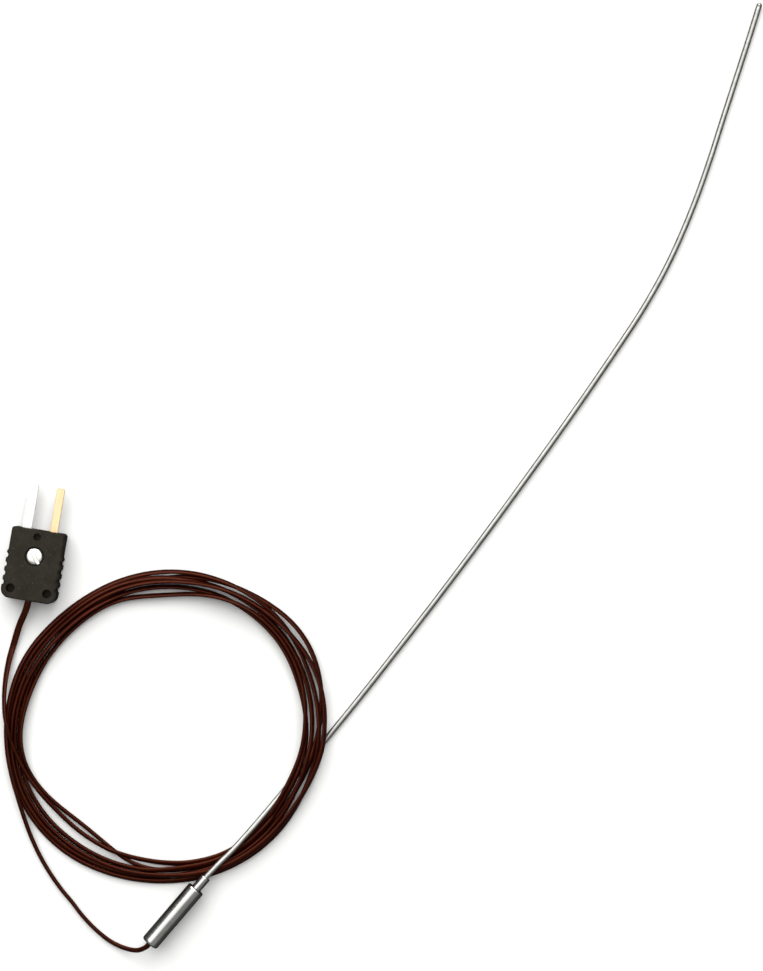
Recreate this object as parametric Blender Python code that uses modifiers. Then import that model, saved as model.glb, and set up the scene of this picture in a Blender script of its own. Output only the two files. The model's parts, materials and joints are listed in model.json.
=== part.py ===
"""Sheathed thermocouple: a thin bent probe, a stepped transition joint, a coiled lead and a
flat two-blade plug that comes apart.

Frame: metres, +Z up, everything lies on z = 0. +X runs along the transition joint towards the
probe's tip, and the origin is under the middle of the probe and joint. Modelled sizes are
given in millimetres and scaled by MM.
"""
import math

import bmesh
import bpy
from mathutils import Vector

MM = 0.001

# Probe
SHEATH_RADIUS = 0.794
SHEATH_WALL = 0.24
INSULATION_RADIUS = 0.50
THERMOELEMENT_RADIUS = 0.12
THERMOELEMENT_BORE = 0.17
THERMOELEMENT_OFFSET = 0.24
JUNCTION_BEAD_RADIUS = 0.34
PROBE_ON_TABLE = 0.81
PROBE_STATIONS = 34
PROBE_SIDES = 12

# Transition joint: distances run along its axis from the lead end
JOINT_LEAD_END = Vector((-160.7, -20.2, 4.45))
SLEEVE_RADIUS = 2.6
SLEEVE_WALL = 0.4
SLEEVE_LENGTH = 20.7
COLLAR_RADIUS = 1.45
COLLAR_END = 25.1
BUSH_START = 17.7
SHEATH_START = 17.0
POTTING_RADIUS = 2.1
POTTING_START = 0.5
POTTING_END = 16.0
SPLICE_START = 9.3
SPLICE_END = 12.3
SPLICE_RADIUS = 0.48
SPLICE_OFFSET = 0.55

# Lead
LEAD_RADIUS = 0.9
LEAD_ON_TABLE = 0.95
JACKET_INTO_JOINT = 2.8
CORE_RADIUS = 0.4
CONDUCTOR_RADIUS = 0.16
COIL_CENTRE = Vector((-110.6, 17.0, 0.0))
COIL_INNER_RADIUS = 39.2
COIL_OUTER_RADIUS = 46.8
COIL_HEIGHT = 2.2
COIL_CORNER = 0.7
COIL_SECTIONS = 72

# Plug, in its own frame: x across, y towards the blades, z up
PLUG_CENTRE = Vector((-99.4, 75.85, 0.0))
PLUG_HEADING = 30.8
PLUG_HALF_LENGTH = 10.3
PLUG_UPPER_HALF_WIDTH = 7.7
PLUG_GRIP_HALF_WIDTH = 8.0
PLUG_BLADE_CORNER = 0.8
PLUG_CORD_CORNER = 2.6
GRIP_TOP = 3.0
GRIP_NOTCHES = (1.8, -0.8, -3.4, -6.0)
GRIP_NOTCH_RADIUS = 0.85
GRIP_NOTCH_CENTRE = 8.35
BASE_TOP = 4.0
COVER_BOTTOM = 4.1
COVER_TOP = 8.0
COVER_EDGE = 0.3
BLADE_PITCH = 7.9
BLADE_REACH = 12.8
BLADE_BOTTOM = 3.6
BLADE_TOP = 4.4
POSITIVE_BLADE_WIDTH = 2.35
NEGATIVE_BLADE_WIDTH = 2.9
BLADE_TIP_CORNER = 0.7
BLADE_ROOM = 0.1
TAB_X = 4.5
TAB_Y = -2.4
TAB_SIZE = 4.0
TAB_HOLE_RADIUS = 1.05
CORD_CHANNEL_RADIUS = 1.25
CORD_CHANNEL_END = -8.2
CORD_HEIGHT = 4.05
CORD_END = -8.1
WIRE_ROOM_HALF_WIDTH = 3.2
WIRE_ROOM_START = -8.6
WIRE_ROOM_TOP = 5.6
WELL_HALF_WIDTH = 2.3
WELL_TOP = 7.15
HOOK_RADIUS = 1.3
STRAND_RADIUS = 0.2
STRAND_HEIGHT = 4.675

# Plug screws, nut and washers: heights above the table
COVER_SCREW_Y = 2.6
COVER_SCREW_SLOT = -52.0
COVER_SCREW_HEAD_RADIUS = 2.4
COVER_SCREW_SHANK_RADIUS = 1.25
COVER_SCREW_HEAD_BOTTOM = 6.9
COVER_SCREW_HEAD_TOP = 7.95
COVER_SCREW_SLOT_BOTTOM = 7.3
COVER_SCREW_END = 0.3
SCREW_HOLE_RADIUS = 1.5
COUNTERBORE_RADIUS = 2.75
COUNTERBORE_BOTTOM = 6.8
RETAINER_RADIUS = 1.9
RETAINER_BORE = 1.35
RETAINER_BOTTOM = 4.2
RETAINER_TOP = 4.6
RETAINER_ROOM_RADIUS = 2.15
RETAINER_ROOM_TOP = 6.1
NUT_RADIUS = 2.887
NUT_BOTTOM = 0.25
NUT_TOP = 1.55
NUT_POCKET_RADIUS = 3.06
NUT_POCKET_TOP = 1.8
TERMINAL_HEAD_RADIUS = 1.8
TERMINAL_SHANK_RADIUS = 0.95
TERMINAL_HEAD_BOTTOM = 5.35
TERMINAL_HEAD_TOP = 6.2
TERMINAL_SLOT_BOTTOM = 5.75
TERMINAL_END = 2.0
TERMINAL_HOLE_RADIUS = 1.25
WASHER_RADIUS = 2.0
WASHER_BORE = 1.1
WASHER_BOTTOM = 4.95
WASHER_TOP = 5.25
CLAMP_HOLE_RADIUS = 1.15
CLAMP_HOLE_BOTTOM = 5.4
CLAMP_HOLE_X = 5.3
CLAMP_HOLE_Y = -7.4
GATE_RECESS_RADIUS = 0.75
GATE_RECESS_BOTTOM = 7.4
GATE_RECESS_Y = 8.3

# The probe's centreline from the joint's collar to its tip
PROBE_ROUTE = [
    (-139.0, -20.2, 4.45), (-135.6, -20.2, 4.45), (-130.0, -20.5, 4.32), (-124.3, -21.0, 4.0),
    (-115.0, -21.25, 3.1), (-106.0, -21.25, 2.15), (-95.0, -21.05, 1.35), (-83.0, -20.8, 0.95),
    (-70.0, -20.5, PROBE_ON_TABLE), (-54.0, -19.9, PROBE_ON_TABLE), (-31.0, -18.8, PROBE_ON_TABLE),
    (-8.0, -17.35, PROBE_ON_TABLE), (15.5, -15.55, PROBE_ON_TABLE), (38.5, -13.5, PROBE_ON_TABLE),
    (61.5, -11.0, PROBE_ON_TABLE), (73.0, -9.4, PROBE_ON_TABLE), (84.4, -7.1, PROBE_ON_TABLE),
    (95.5, -4.0, PROBE_ON_TABLE), (106.5, -0.3, PROBE_ON_TABLE), (117.3, 3.9, PROBE_ON_TABLE),
    (128.0, 8.4, PROBE_ON_TABLE), (149.4, 17.3, PROBE_ON_TABLE), (159.8, 21.75, PROBE_ON_TABLE),
]

# The lead's centreline where it isn't coiled, joint to coil and coil to plug
JOINT_TAIL_ROUTE = [
    (-162.4, -20.1, 4.2), (-164.6, -19.0, 3.3), (-166.2, -17.0, 2.2), (-167.4, -14.4, 1.35),
    (-168.2, -11.2, 0.98), (-168.4, -7.5, LEAD_ON_TABLE), (-168.1, -3.4, LEAD_ON_TABLE),
    (-167.5, 0.8, LEAD_ON_TABLE), (-166.8, 5.3, LEAD_ON_TABLE), (-166.0, 9.8, LEAD_ON_TABLE),
    (-164.9, 14.4, LEAD_ON_TABLE), (-163.4, 19.0, LEAD_ON_TABLE), (-161.8, 22.9, LEAD_ON_TABLE),
    (-159.9, 26.4, LEAD_ON_TABLE), (-157.4, 30.2, LEAD_ON_TABLE),
]
PLUG_TAIL_ROUTE = [
    (-131.9, 60.4, LEAD_ON_TABLE), (-128.0, 62.6, LEAD_ON_TABLE), (-124.2, 64.6, LEAD_ON_TABLE),
    (-120.2, 66.6, 1.1), (-116.6, 68.2, 1.9), (-113.2, 69.7, 3.1),
]

# Height of the coil's middle at angles round it: flat on the table, with one long hump over the probe
COIL_HEIGHTS = [(0, 1.2), (262, 1.2), (286, 3.8), (304, 3.3), (348, 1.2), (360, 1.2)]

COLOURS = {
    "stainless": ((0.62, 0.62, 0.60), 0.28, 1.0),
    "weld": ((0.50, 0.49, 0.47), 0.35, 1.0),
    "magnesia": ((0.86, 0.86, 0.84), 0.9, 0.0),
    "iron": ((0.45, 0.44, 0.43), 0.4, 1.0),
    "constantan": ((0.66, 0.60, 0.52), 0.35, 1.0),
    "crimp": ((0.70, 0.69, 0.66), 0.3, 1.0),
    "potting": ((0.05, 0.04, 0.035), 0.5, 0.0),
    "white_insulation": ((0.85, 0.84, 0.80), 0.4, 0.0),
    "red_insulation": ((0.60, 0.06, 0.05), 0.4, 0.0),
    "lead_jacket": ((0.10, 0.03, 0.02), 0.3, 0.0),
    "plug_plastic": ((0.035, 0.034, 0.032), 0.5, 0.0),
    "gold_plate": ((0.86, 0.68, 0.38), 0.3, 1.0),
    "nickel_plate": ((0.80, 0.79, 0.76), 0.25, 1.0),
    "bright_steel": ((0.80, 0.79, 0.75), 0.25, 1.0),
    "spring_steel": ((0.35, 0.35, 0.36), 0.4, 1.0),
}


# ---------------------------------------------------------------- scene and materials

def clear_scene():
    for item in list(bpy.data.objects):
        bpy.data.objects.remove(item, do_unlink=True)


def make_collection(name):
    group = bpy.data.collections.new(name)
    bpy.context.scene.collection.children.link(group)
    return group


def make_material(name):
    colour, roughness, metallic = COLOURS[name]
    material = bpy.data.materials.new(name)
    material.use_nodes = True
    shader = material.node_tree.nodes["Principled BSDF"]
    shader.inputs["Base Color"].default_value = (*colour, 1.0)
    shader.inputs["Roughness"].default_value = roughness
    shader.inputs["Metallic"].default_value = metallic
    return material


clear_scene()
PARTS = make_collection("thermocouple")
CUTTERS = make_collection("cutters")
MATERIALS = {name: make_material(name) for name in COLOURS}


def make_frame(name, centre, heading=0.0):
    frame = bpy.data.objects.new(name, None)
    frame.location = centre * MM
    frame.rotation_euler = (0.0, 0.0, math.radians(heading))
    PARTS.objects.link(frame)
    return frame


PLUG_FRAME = make_frame("plug_frame", PLUG_CENTRE, PLUG_HEADING - 90.0)
JOINT_FRAME = make_frame("joint_frame", JOINT_LEAD_END)


# ---------------------------------------------------------------- shape helpers

def add_mesh(name, mesh, parent=None, centre=(0.0, 0.0, 0.0)):
    body = bpy.data.objects.new(name, mesh)
    body.location = Vector(centre) * MM
    body.parent = parent
    CUTTERS.objects.link(body)
    return body


def finish(body, material, smooth=True):
    """Moves a shape from the cutters to the object's own parts."""
    CUTTERS.objects.unlink(body)
    PARTS.objects.link(body)
    body.data.materials.clear()
    body.data.materials.append(MATERIALS[material])
    if smooth and body.type == "MESH":
        body.data.shade_smooth()
        body.data.set_sharp_from_angle(angle=math.radians(35.0))
    return body


def cut(body, *tools):
    for tool in tools:
        tool.hide_render = True
        tool.display_type = "WIRE"
        modifier = body.modifiers.new(tool.name, "BOOLEAN")
        modifier.operation = "DIFFERENCE"
        modifier.solver = "EXACT"
        modifier.object = tool


def block(name, low, high, parent=None):
    mesh = bpy.data.meshes.new(name)
    shape = bmesh.new()
    bmesh.ops.create_cube(shape, size=1.0)
    size = Vector(high) - Vector(low)
    bmesh.ops.scale(shape, vec=size * MM, verts=shape.verts)
    shape.to_mesh(mesh)
    shape.free()
    return add_mesh(name, mesh, parent, (Vector(low) + Vector(high)) / 2.0)


def rod(name, radius, start, end, parent=None, sides=24):
    """A cylinder between two points."""
    start = Vector(start)
    end = Vector(end)
    mesh = bpy.data.meshes.new(name)
    shape = bmesh.new()
    bmesh.ops.create_cone(shape, cap_ends=True, segments=sides, radius1=radius * MM,
                          radius2=radius * MM, depth=(end - start).length * MM)
    shape.to_mesh(mesh)
    shape.free()
    body = add_mesh(name, mesh, parent, (start + end) / 2.0)
    body.rotation_mode = "QUATERNION"
    body.rotation_quaternion = Vector((0, 0, 1)).rotation_difference(end - start)
    return body


def turned(name, profile, parent=None, centre=(0.0, 0.0, 0.0), sides=24, along_x=False):
    """A turned solid. The profile holds (radius, height) points down its outer side."""
    mesh = bpy.data.meshes.new(name)
    shape = bmesh.new()
    points = [shape.verts.new((radius * MM, 0.0, height * MM)) for radius, height in profile]
    loop = list(zip(points, points[1:]))
    if profile[0][0] > 0.0:
        loop.append((points[-1], points[0]))
    for first, second in loop:
        shape.edges.new((first, second))
    shape.to_mesh(mesh)
    shape.free()
    body = add_mesh(name, mesh, parent, centre)
    screw = body.modifiers.new("turn", "SCREW")
    screw.axis = "Z"
    screw.steps = sides
    screw.render_steps = sides
    screw.use_merge_vertices = True
    screw.merge_threshold = 0.00001
    screw.use_smooth_shade = True
    if along_x:
        body.rotation_euler = (0.0, math.radians(90.0), 0.0)
    return body


def as_mesh(curve_object):
    """Replaces a curve object with the welded mesh of its surface."""
    bpy.context.view_layer.update()
    evaluated = curve_object.evaluated_get(bpy.context.evaluated_depsgraph_get())
    mesh = bpy.data.meshes.new_from_object(evaluated)
    shape = bmesh.new()
    shape.from_mesh(mesh)
    bmesh.ops.remove_doubles(shape, verts=shape.verts, dist=0.000002)
    shape.to_mesh(mesh)
    shape.free()
    name = curve_object.name
    parent = curve_object.parent
    location = curve_object.location.copy()
    curve_object.name = name + "_curve"
    body = bpy.data.objects.new(name, mesh)
    body.parent = parent
    body.location = location
    CUTTERS.objects.link(body)
    bpy.data.objects.remove(curve_object, do_unlink=True)
    return body


def sweep(name, points, radius, parent=None, resolution=2, capped=True):
    """A round wire or tube along a list of points."""
    curve = bpy.data.curves.new(name, "CURVE")
    curve.dimensions = "3D"
    curve.bevel_depth = radius * MM
    curve.bevel_resolution = resolution
    curve.use_fill_caps = capped
    spline = curve.splines.new("POLY")
    spline.points.add(len(points) - 1)
    for control, point in zip(spline.points, points):
        control.co = (*(Vector(point) * MM), 1.0)
    body = bpy.data.objects.new(name, curve)
    body.parent = parent
    CUTTERS.objects.link(body)
    return body


def plate(name, outline, bottom, top, parent=None):
    """A flat solid from a closed outline."""
    curve = bpy.data.curves.new(name, "CURVE")
    curve.dimensions = "2D"
    curve.fill_mode = "BOTH"
    curve.extrude = (top - bottom) / 2.0 * MM
    spline = curve.splines.new("POLY")
    spline.points.add(len(outline) - 1)
    spline.use_cyclic_u = True
    for control, (x, y) in zip(spline.points, outline):
        control.co = (x * MM, y * MM, 0.0, 1.0)
    body = bpy.data.objects.new(name, curve)
    body.parent = parent
    body.location = (0.0, 0.0, (top + bottom) / 2.0 * MM)
    CUTTERS.objects.link(body)
    return as_mesh(body)


def arc(centre, radius, start, end, steps):
    """Points on an arc between two angles in degrees."""
    points = []
    for step in range(steps + 1):
        angle = math.radians(start + (end - start) * step / steps)
        points.append((centre[0] + radius * math.cos(angle), centre[1] + radius * math.sin(angle)))
    return points


def smooth_path(route, count):
    """Evenly spaced points on the smooth curve through a route's own points."""
    route = [Vector(point) for point in route]
    knots = [2 * route[0] - route[1]] + route + [2 * route[-1] - route[-2]]
    fine = []
    for a, b, c, d in zip(knots, knots[1:], knots[2:], knots[3:]):
        for step in range(20):
            t = step / 20.0
            fine.append(0.5 * (2 * b + (c - a) * t + (2 * a - 5 * b + 4 * c - d) * t ** 2
                               + (3 * b - a - 3 * c + d) * t ** 3))
    fine.append(route[-1])
    reach = [0.0]
    for first, second in zip(fine, fine[1:]):
        reach.append(reach[-1] + (second - first).length)
    points = []
    index = 0
    for step in range(count):
        target = reach[-1] * step / (count - 1)
        while index < len(fine) - 2 and reach[index + 1] < target:
            index += 1
        share = (target - reach[index]) / (reach[index + 1] - reach[index])
        points.append(fine[index].lerp(fine[index + 1], share))
    return points


# ---------------------------------------------------------------- probe

def joint_point(along, across=0.0):
    return JOINT_LEAD_END + Vector((along, across, 0.0))


def beside(path, offset):
    """A path moved sideways, level with the table, by the given offset."""
    moved = []
    for index, point in enumerate(path):
        ahead = path[min(index + 1, len(path) - 1)]
        behind = path[max(index - 1, 0)]
        side = Vector((0, 0, 1)).cross(ahead - behind).normalized()
        moved.append(point + side * offset)
    return moved


def shorten(path, length):
    """A path with the given length taken off its far end."""
    points = list(path)
    while (points[-1] - points[-2]).length < length:
        length -= (points[-1] - points[-2]).length
        points.pop()
    direction = (points[-1] - points[-2]).normalized()
    points[-1] = points[-1] - direction * length
    return points


def extend(path, length):
    """A path with a short straight piece added at each end."""
    start = path[0] + (path[0] - path[1]).normalized() * length
    end = path[-1] + (path[-1] - path[-2]).normalized() * length
    return [start] + list(path) + [end]


def make_probe():
    path = [joint_point(SHEATH_START)] + smooth_path(PROBE_ROUTE, PROBE_STATIONS)
    outer = sweep("probe_sheath", path, SHEATH_RADIUS, resolution=4)
    outer = as_mesh(outer)
    bore = as_mesh(sweep("sheath_bore", extend(path, 0.5), SHEATH_RADIUS - SHEATH_WALL, resolution=4))
    cut(outer, bore)
    finish(outer, "stainless")

    filling = [path[0] + Vector((0.15, 0, 0))] + shorten(path[1:], 1.9)
    insulation = as_mesh(sweep("magnesia_insulation", filling, INSULATION_RADIUS, resolution=3))
    for side, name in ((1, "positive"), (-1, "negative")):
        hole_path = extend(beside(filling, side * THERMOELEMENT_OFFSET), 0.3)
        hole = as_mesh(sweep(name + "_wire_bore", hole_path, THERMOELEMENT_BORE, resolution=1))
        cut(insulation, hole)
    finish(insulation, "magnesia")

    wire_end = shorten(path[1:], 1.6)
    for side, name, metal in ((1, "positive", "iron"), (-1, "negative", "constantan")):
        start = [joint_point(SPLICE_END - 1.3, side * SPLICE_OFFSET),
                 joint_point(SPLICE_END + 0.4, side * SPLICE_OFFSET),
                 joint_point(POTTING_END - 0.4, side * THERMOELEMENT_OFFSET),
                 joint_point(SHEATH_START, side * THERMOELEMENT_OFFSET)]
        wire_path = start + beside(wire_end, side * THERMOELEMENT_OFFSET)
        wire = as_mesh(sweep(name + "_thermoelement", wire_path, THERMOELEMENT_RADIUS, resolution=1))
        finish(wire, metal)

    tip = path[-1]
    direction = (path[-1] - path[-2]).normalized()
    heading = math.degrees(math.atan2(direction.y, direction.x))
    tip_frame = make_frame("tip_frame", tip, heading)
    bore_radius = SHEATH_RADIUS - SHEATH_WALL - 0.06
    dome = [(SHEATH_RADIUS * math.cos(math.radians(angle)), 0.05 + SHEATH_RADIUS * 0.9
             * math.sin(math.radians(angle))) for angle in (75, 60, 45, 30, 15, 0)]
    cap_profile = [(0.0, dome[0][1] + 0.02)] + dome + [(bore_radius, 0.05), (bore_radius, -0.5), (0.0, -0.5)]
    cap = turned("tip_weld_cap", cap_profile, tip_frame, sides=16, along_x=True)
    finish(cap, "weld", smooth=False)

    ball = [(JUNCTION_BEAD_RADIUS * math.sin(math.radians(angle)),
             JUNCTION_BEAD_RADIUS * math.cos(math.radians(angle))) for angle in range(0, 181, 30)]
    ball[0] = (0.0, JUNCTION_BEAD_RADIUS)
    ball[-1] = (0.0, -JUNCTION_BEAD_RADIUS)
    bead = turned("hot_junction_bead", ball, tip_frame, (-1.15, 0.0, 0.0), sides=12, along_x=True)
    finish(bead, "weld", smooth=False)


# ---------------------------------------------------------------- transition joint

def make_joint():
    inner = SLEEVE_RADIUS - SLEEVE_WALL
    sleeve = turned("transition_sleeve", [
        (SLEEVE_RADIUS - 0.2, SLEEVE_LENGTH), (SLEEVE_RADIUS, SLEEVE_LENGTH - 0.2),
        (SLEEVE_RADIUS, 0.2), (SLEEVE_RADIUS - 0.2, 0.0), (inner, 0.0), (inner, SLEEVE_LENGTH),
    ], JOINT_FRAME, sides=32, along_x=True)
    finish(sleeve, "stainless", smooth=False)

    bore = SHEATH_RADIUS + 0.12
    shoulder = SLEEVE_LENGTH - 0.1
    bush = turned("reducer_bush", [
        (COLLAR_RADIUS - 0.2, COLLAR_END), (COLLAR_RADIUS, COLLAR_END - 0.2),
        (COLLAR_RADIUS, shoulder), (inner - 0.1, shoulder), (inner - 0.1, BUSH_START),
        (bore, BUSH_START), (bore, COLLAR_END),
    ], JOINT_FRAME, sides=24, along_x=True)
    finish(bush, "stainless", smooth=False)

    seal = rod("sheath_end_seal", 0.75, (POTTING_END + 0.3, 0, 0), (SHEATH_START - 0.1, 0, 0), JOINT_FRAME)
    potting = rod("potting_compound", POTTING_RADIUS, (POTTING_START, 0, 0), (POTTING_END, 0, 0),
                  JOINT_FRAME, sides=32)
    cut(potting, rod("jacket_bore", LEAD_RADIUS + 0.15, (-0.5, 0, 0), (JACKET_INTO_JOINT + 0.2, 0, 0),
                     JOINT_FRAME))
    cores = ((1, "positive", "white_insulation"), (-1, "negative", "red_insulation"))
    for side, name, core_material in cores:
        across = side * SPLICE_OFFSET
        cut(potting,
            rod(name + "_core_bore", CORE_RADIUS + 0.1, (JACKET_INTO_JOINT, across, 0),
                (SPLICE_START, across, 0), JOINT_FRAME, 12),
            rod(name + "_splice_bore", SPLICE_RADIUS + 0.12, (SPLICE_START - 0.2, across, 0),
                (SPLICE_END + 0.3, across, 0), JOINT_FRAME, 12))
        wire_across = side * THERMOELEMENT_OFFSET
        cut(seal, rod(name + "_seal_bore", THERMOELEMENT_BORE, (POTTING_END, wire_across, 0),
                      (SHEATH_START, wire_across, 0), JOINT_FRAME, 8))
        splice = rod(name + "_splice", SPLICE_RADIUS, (SPLICE_START, across, 0), (SPLICE_END, across, 0),
                     JOINT_FRAME, 12)
        cut(splice, rod(name + "_barrel", 0.26, (SPLICE_START - 0.5, across, 0),
                        (SPLICE_END + 0.5, across, 0), JOINT_FRAME, 10))
        finish(splice, "crimp")
        core = turned(name + "_core_at_joint", [
            (0.0, SPLICE_START + 1.3), (CONDUCTOR_RADIUS, SPLICE_START + 1.3),
            (CONDUCTOR_RADIUS, SPLICE_START - 0.4), (CORE_RADIUS, SPLICE_START - 0.4),
            (CORE_RADIUS, JACKET_INTO_JOINT + 0.3), (0.0, JACKET_INTO_JOINT + 0.3),
        ], JOINT_FRAME, (0.0, across, 0.0), sides=12, along_x=True)
        finish(core, core_material, smooth=False)
    cut(potting, block("wire_slot", (SPLICE_END + 0.1, -0.85, -0.25), (POTTING_END + 0.5, 0.85, 0.25),
                       JOINT_FRAME))
    finish(seal, "potting")
    finish(potting, "potting")


# ---------------------------------------------------------------- lead

def plug_point(x, y, z):
    angle = math.radians(PLUG_HEADING - 90.0)
    return PLUG_CENTRE + Vector((x * math.cos(angle) - y * math.sin(angle),
                                 x * math.sin(angle) + y * math.cos(angle), z))


def make_lead():
    into_joint = [joint_point(JACKET_INTO_JOINT), joint_point(0.6)]
    joint_tail = into_joint + smooth_path([joint_point(-0.4)] + JOINT_TAIL_ROUTE, 16)
    finish(sweep("lead_tail_joint", joint_tail, LEAD_RADIUS), "lead_jacket")

    exit_path = [plug_point(0, -PLUG_HALF_LENGTH - 0.6, CORD_HEIGHT), plug_point(0, CORD_END, CORD_HEIGHT)]
    plug_tail = smooth_path(PLUG_TAIL_ROUTE + [exit_path[0]], 8) + [exit_path[1]]
    finish(sweep("lead_tail_plug", plug_tail, LEAD_RADIUS), "lead_jacket")


def coil_height(angle):
    """Height of the coil's middle, eased between the listed angles."""
    for (start, low), (end, high) in zip(COIL_HEIGHTS, COIL_HEIGHTS[1:]):
        if angle <= end:
            share = (angle - start) / (end - start)
            return low + (high - low) * share ** 2 * (3.0 - 2.0 * share)
    return COIL_HEIGHTS[-1][1]


def coil_section(height):
    """The coil's outline across its turns, as (radius, height) points with broken corners."""
    bottom = height - COIL_HEIGHT / 2.0
    top = height + COIL_HEIGHT / 2.0
    return [
        (COIL_OUTER_RADIUS - COIL_CORNER, top), (COIL_OUTER_RADIUS, top - COIL_CORNER),
        (COIL_OUTER_RADIUS, bottom + COIL_CORNER), (COIL_OUTER_RADIUS - COIL_CORNER, bottom),
        (COIL_INNER_RADIUS + COIL_CORNER, bottom), (COIL_INNER_RADIUS, bottom + COIL_CORNER),
        (COIL_INNER_RADIUS, top - COIL_CORNER), (COIL_INNER_RADIUS + COIL_CORNER, top),
    ]


def make_coil():
    """All the turns as one ring, which lies under the joint and over the probe."""
    shape = bmesh.new()
    rings = []
    for section in range(COIL_SECTIONS):
        degrees = 360.0 * section / COIL_SECTIONS
        angle = math.radians(degrees)
        ring = []
        for radius, height in coil_section(coil_height(degrees)):
            corner = Vector((radius * math.cos(angle), radius * math.sin(angle), height))
            ring.append(shape.verts.new(corner * MM))
        rings.append(ring)
    for ring, following in zip(rings, rings[1:] + rings[:1]):
        for index in range(len(ring)):
            beyond = (index + 1) % len(ring)
            shape.faces.new((ring[index], ring[beyond], following[beyond], following[index]))
    bmesh.ops.recalc_face_normals(shape, faces=shape.faces)
    mesh = bpy.data.meshes.new("lead_coil")
    shape.to_mesh(mesh)
    shape.free()
    coil = add_mesh("lead_coil", mesh, centre=COIL_CENTRE)
    sleeve_room = rod("coil_sleeve_room", SLEEVE_RADIUS + 0.25,
                      joint_point(10.0), joint_point(SLEEVE_LENGTH + 0.3))
    collar_room = rod("coil_collar_room", COLLAR_RADIUS + 0.25,
                      joint_point(20.0), joint_point(COLLAR_END + 0.3))
    crossing = smooth_path(PROBE_ROUTE[:9], 14)
    sheath_room = as_mesh(sweep("coil_sheath_room", crossing, SHEATH_RADIUS + 0.3))
    cut(coil, sleeve_room, collar_room, sheath_room)
    finish(coil, "lead_jacket", smooth=False)


# ---------------------------------------------------------------- plug

def half_outline():
    """The right-hand side of the plug's outline, from the blade end to the cord end."""
    corner = (PLUG_UPPER_HALF_WIDTH - PLUG_BLADE_CORNER, PLUG_HALF_LENGTH - PLUG_BLADE_CORNER)
    points = arc(corner, PLUG_BLADE_CORNER, 90, 0, 3)
    points += [(PLUG_UPPER_HALF_WIDTH, GRIP_TOP + 0.6), (PLUG_GRIP_HALF_WIDTH, GRIP_TOP)]
    dip = math.degrees(math.acos((GRIP_NOTCH_CENTRE - PLUG_GRIP_HALF_WIDTH) / GRIP_NOTCH_RADIUS))
    for notch in GRIP_NOTCHES:
        points += arc((GRIP_NOTCH_CENTRE, notch), GRIP_NOTCH_RADIUS, 180 - dip, 180 + dip, 4)
    corner = (PLUG_GRIP_HALF_WIDTH - PLUG_CORD_CORNER, PLUG_CORD_CORNER - PLUG_HALF_LENGTH)
    points += arc(corner, PLUG_CORD_CORNER, 0, -90, 5)
    return points


def plug_outline():
    right = half_outline()
    left = [(-x, y) for x, y in reversed(right)]
    return right + left


def blade_slots(name, bottom, top):
    """Room for both blades and their terminal tabs."""
    slots = []
    for side, width in ((1, POSITIVE_BLADE_WIDTH), (-1, NEGATIVE_BLADE_WIDTH)):
        middle = side * BLADE_PITCH / 2.0
        half = width / 2.0 + BLADE_ROOM
        slots.append(block(f"{name}_slot_{side}", (middle - half, TAB_Y + 1.5, bottom),
                           (middle + half, PLUG_HALF_LENGTH + 0.5, top), PLUG_FRAME))
    return slots


def make_base():
    base = plate("plug_base", plug_outline(), 0.0, BASE_TOP, PLUG_FRAME)
    centre = COVER_SCREW_Y
    cut(base,
        rod("base_screw_hole", SCREW_HOLE_RADIUS, (0, centre, -0.5), (0, centre, BASE_TOP + 0.5), PLUG_FRAME),
        rod("base_nut_pocket", NUT_POCKET_RADIUS, (0, centre, -0.5), (0, centre, NUT_POCKET_TOP),
            PLUG_FRAME, 6),
        *blade_slots("base", BLADE_BOTTOM - BLADE_ROOM, BASE_TOP + 0.5))
    for side in (1, -1):
        middle = side * TAB_X
        reach = TAB_SIZE / 2.0 + BLADE_ROOM
        cut(base,
            block(f"base_tab_{side}", (middle - reach, TAB_Y - reach, BLADE_BOTTOM - BLADE_ROOM),
                  (middle + reach, TAB_Y + reach, BASE_TOP + 0.5), PLUG_FRAME),
            rod(f"base_terminal_hole_{side}", TERMINAL_HOLE_RADIUS, (middle, TAB_Y, TERMINAL_END - 0.5),
                (middle, TAB_Y, BASE_TOP - 0.1), PLUG_FRAME, 16))
    cut(base,
        block("base_wire_room", (-WIRE_ROOM_HALF_WIDTH, WIRE_ROOM_START, 2.9),
              (WIRE_ROOM_HALF_WIDTH, -4.9, BASE_TOP + 0.5), PLUG_FRAME),
        rod("base_cord_channel", CORD_CHANNEL_RADIUS, (0, -11.0, CORD_HEIGHT),
            (0, CORD_CHANNEL_END, CORD_HEIGHT), PLUG_FRAME))
    finish(base, "plug_plastic")


def chamfer_top(body):
    """Breaks the sharp edge around the top face."""
    shape = bmesh.new()
    shape.from_mesh(body.data)
    top = max(vertex.co.z for vertex in shape.verts)
    rim = [edge for edge in shape.edges if all(abs(vertex.co.z - top) < 1e-6 for vertex in edge.verts)
           and edge.calc_face_angle(0.0) > 1.0]
    bmesh.ops.bevel(shape, geom=rim, offset=COVER_EDGE * MM, segments=1, affect="EDGES")
    shape.to_mesh(body.data)
    shape.free()


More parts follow.
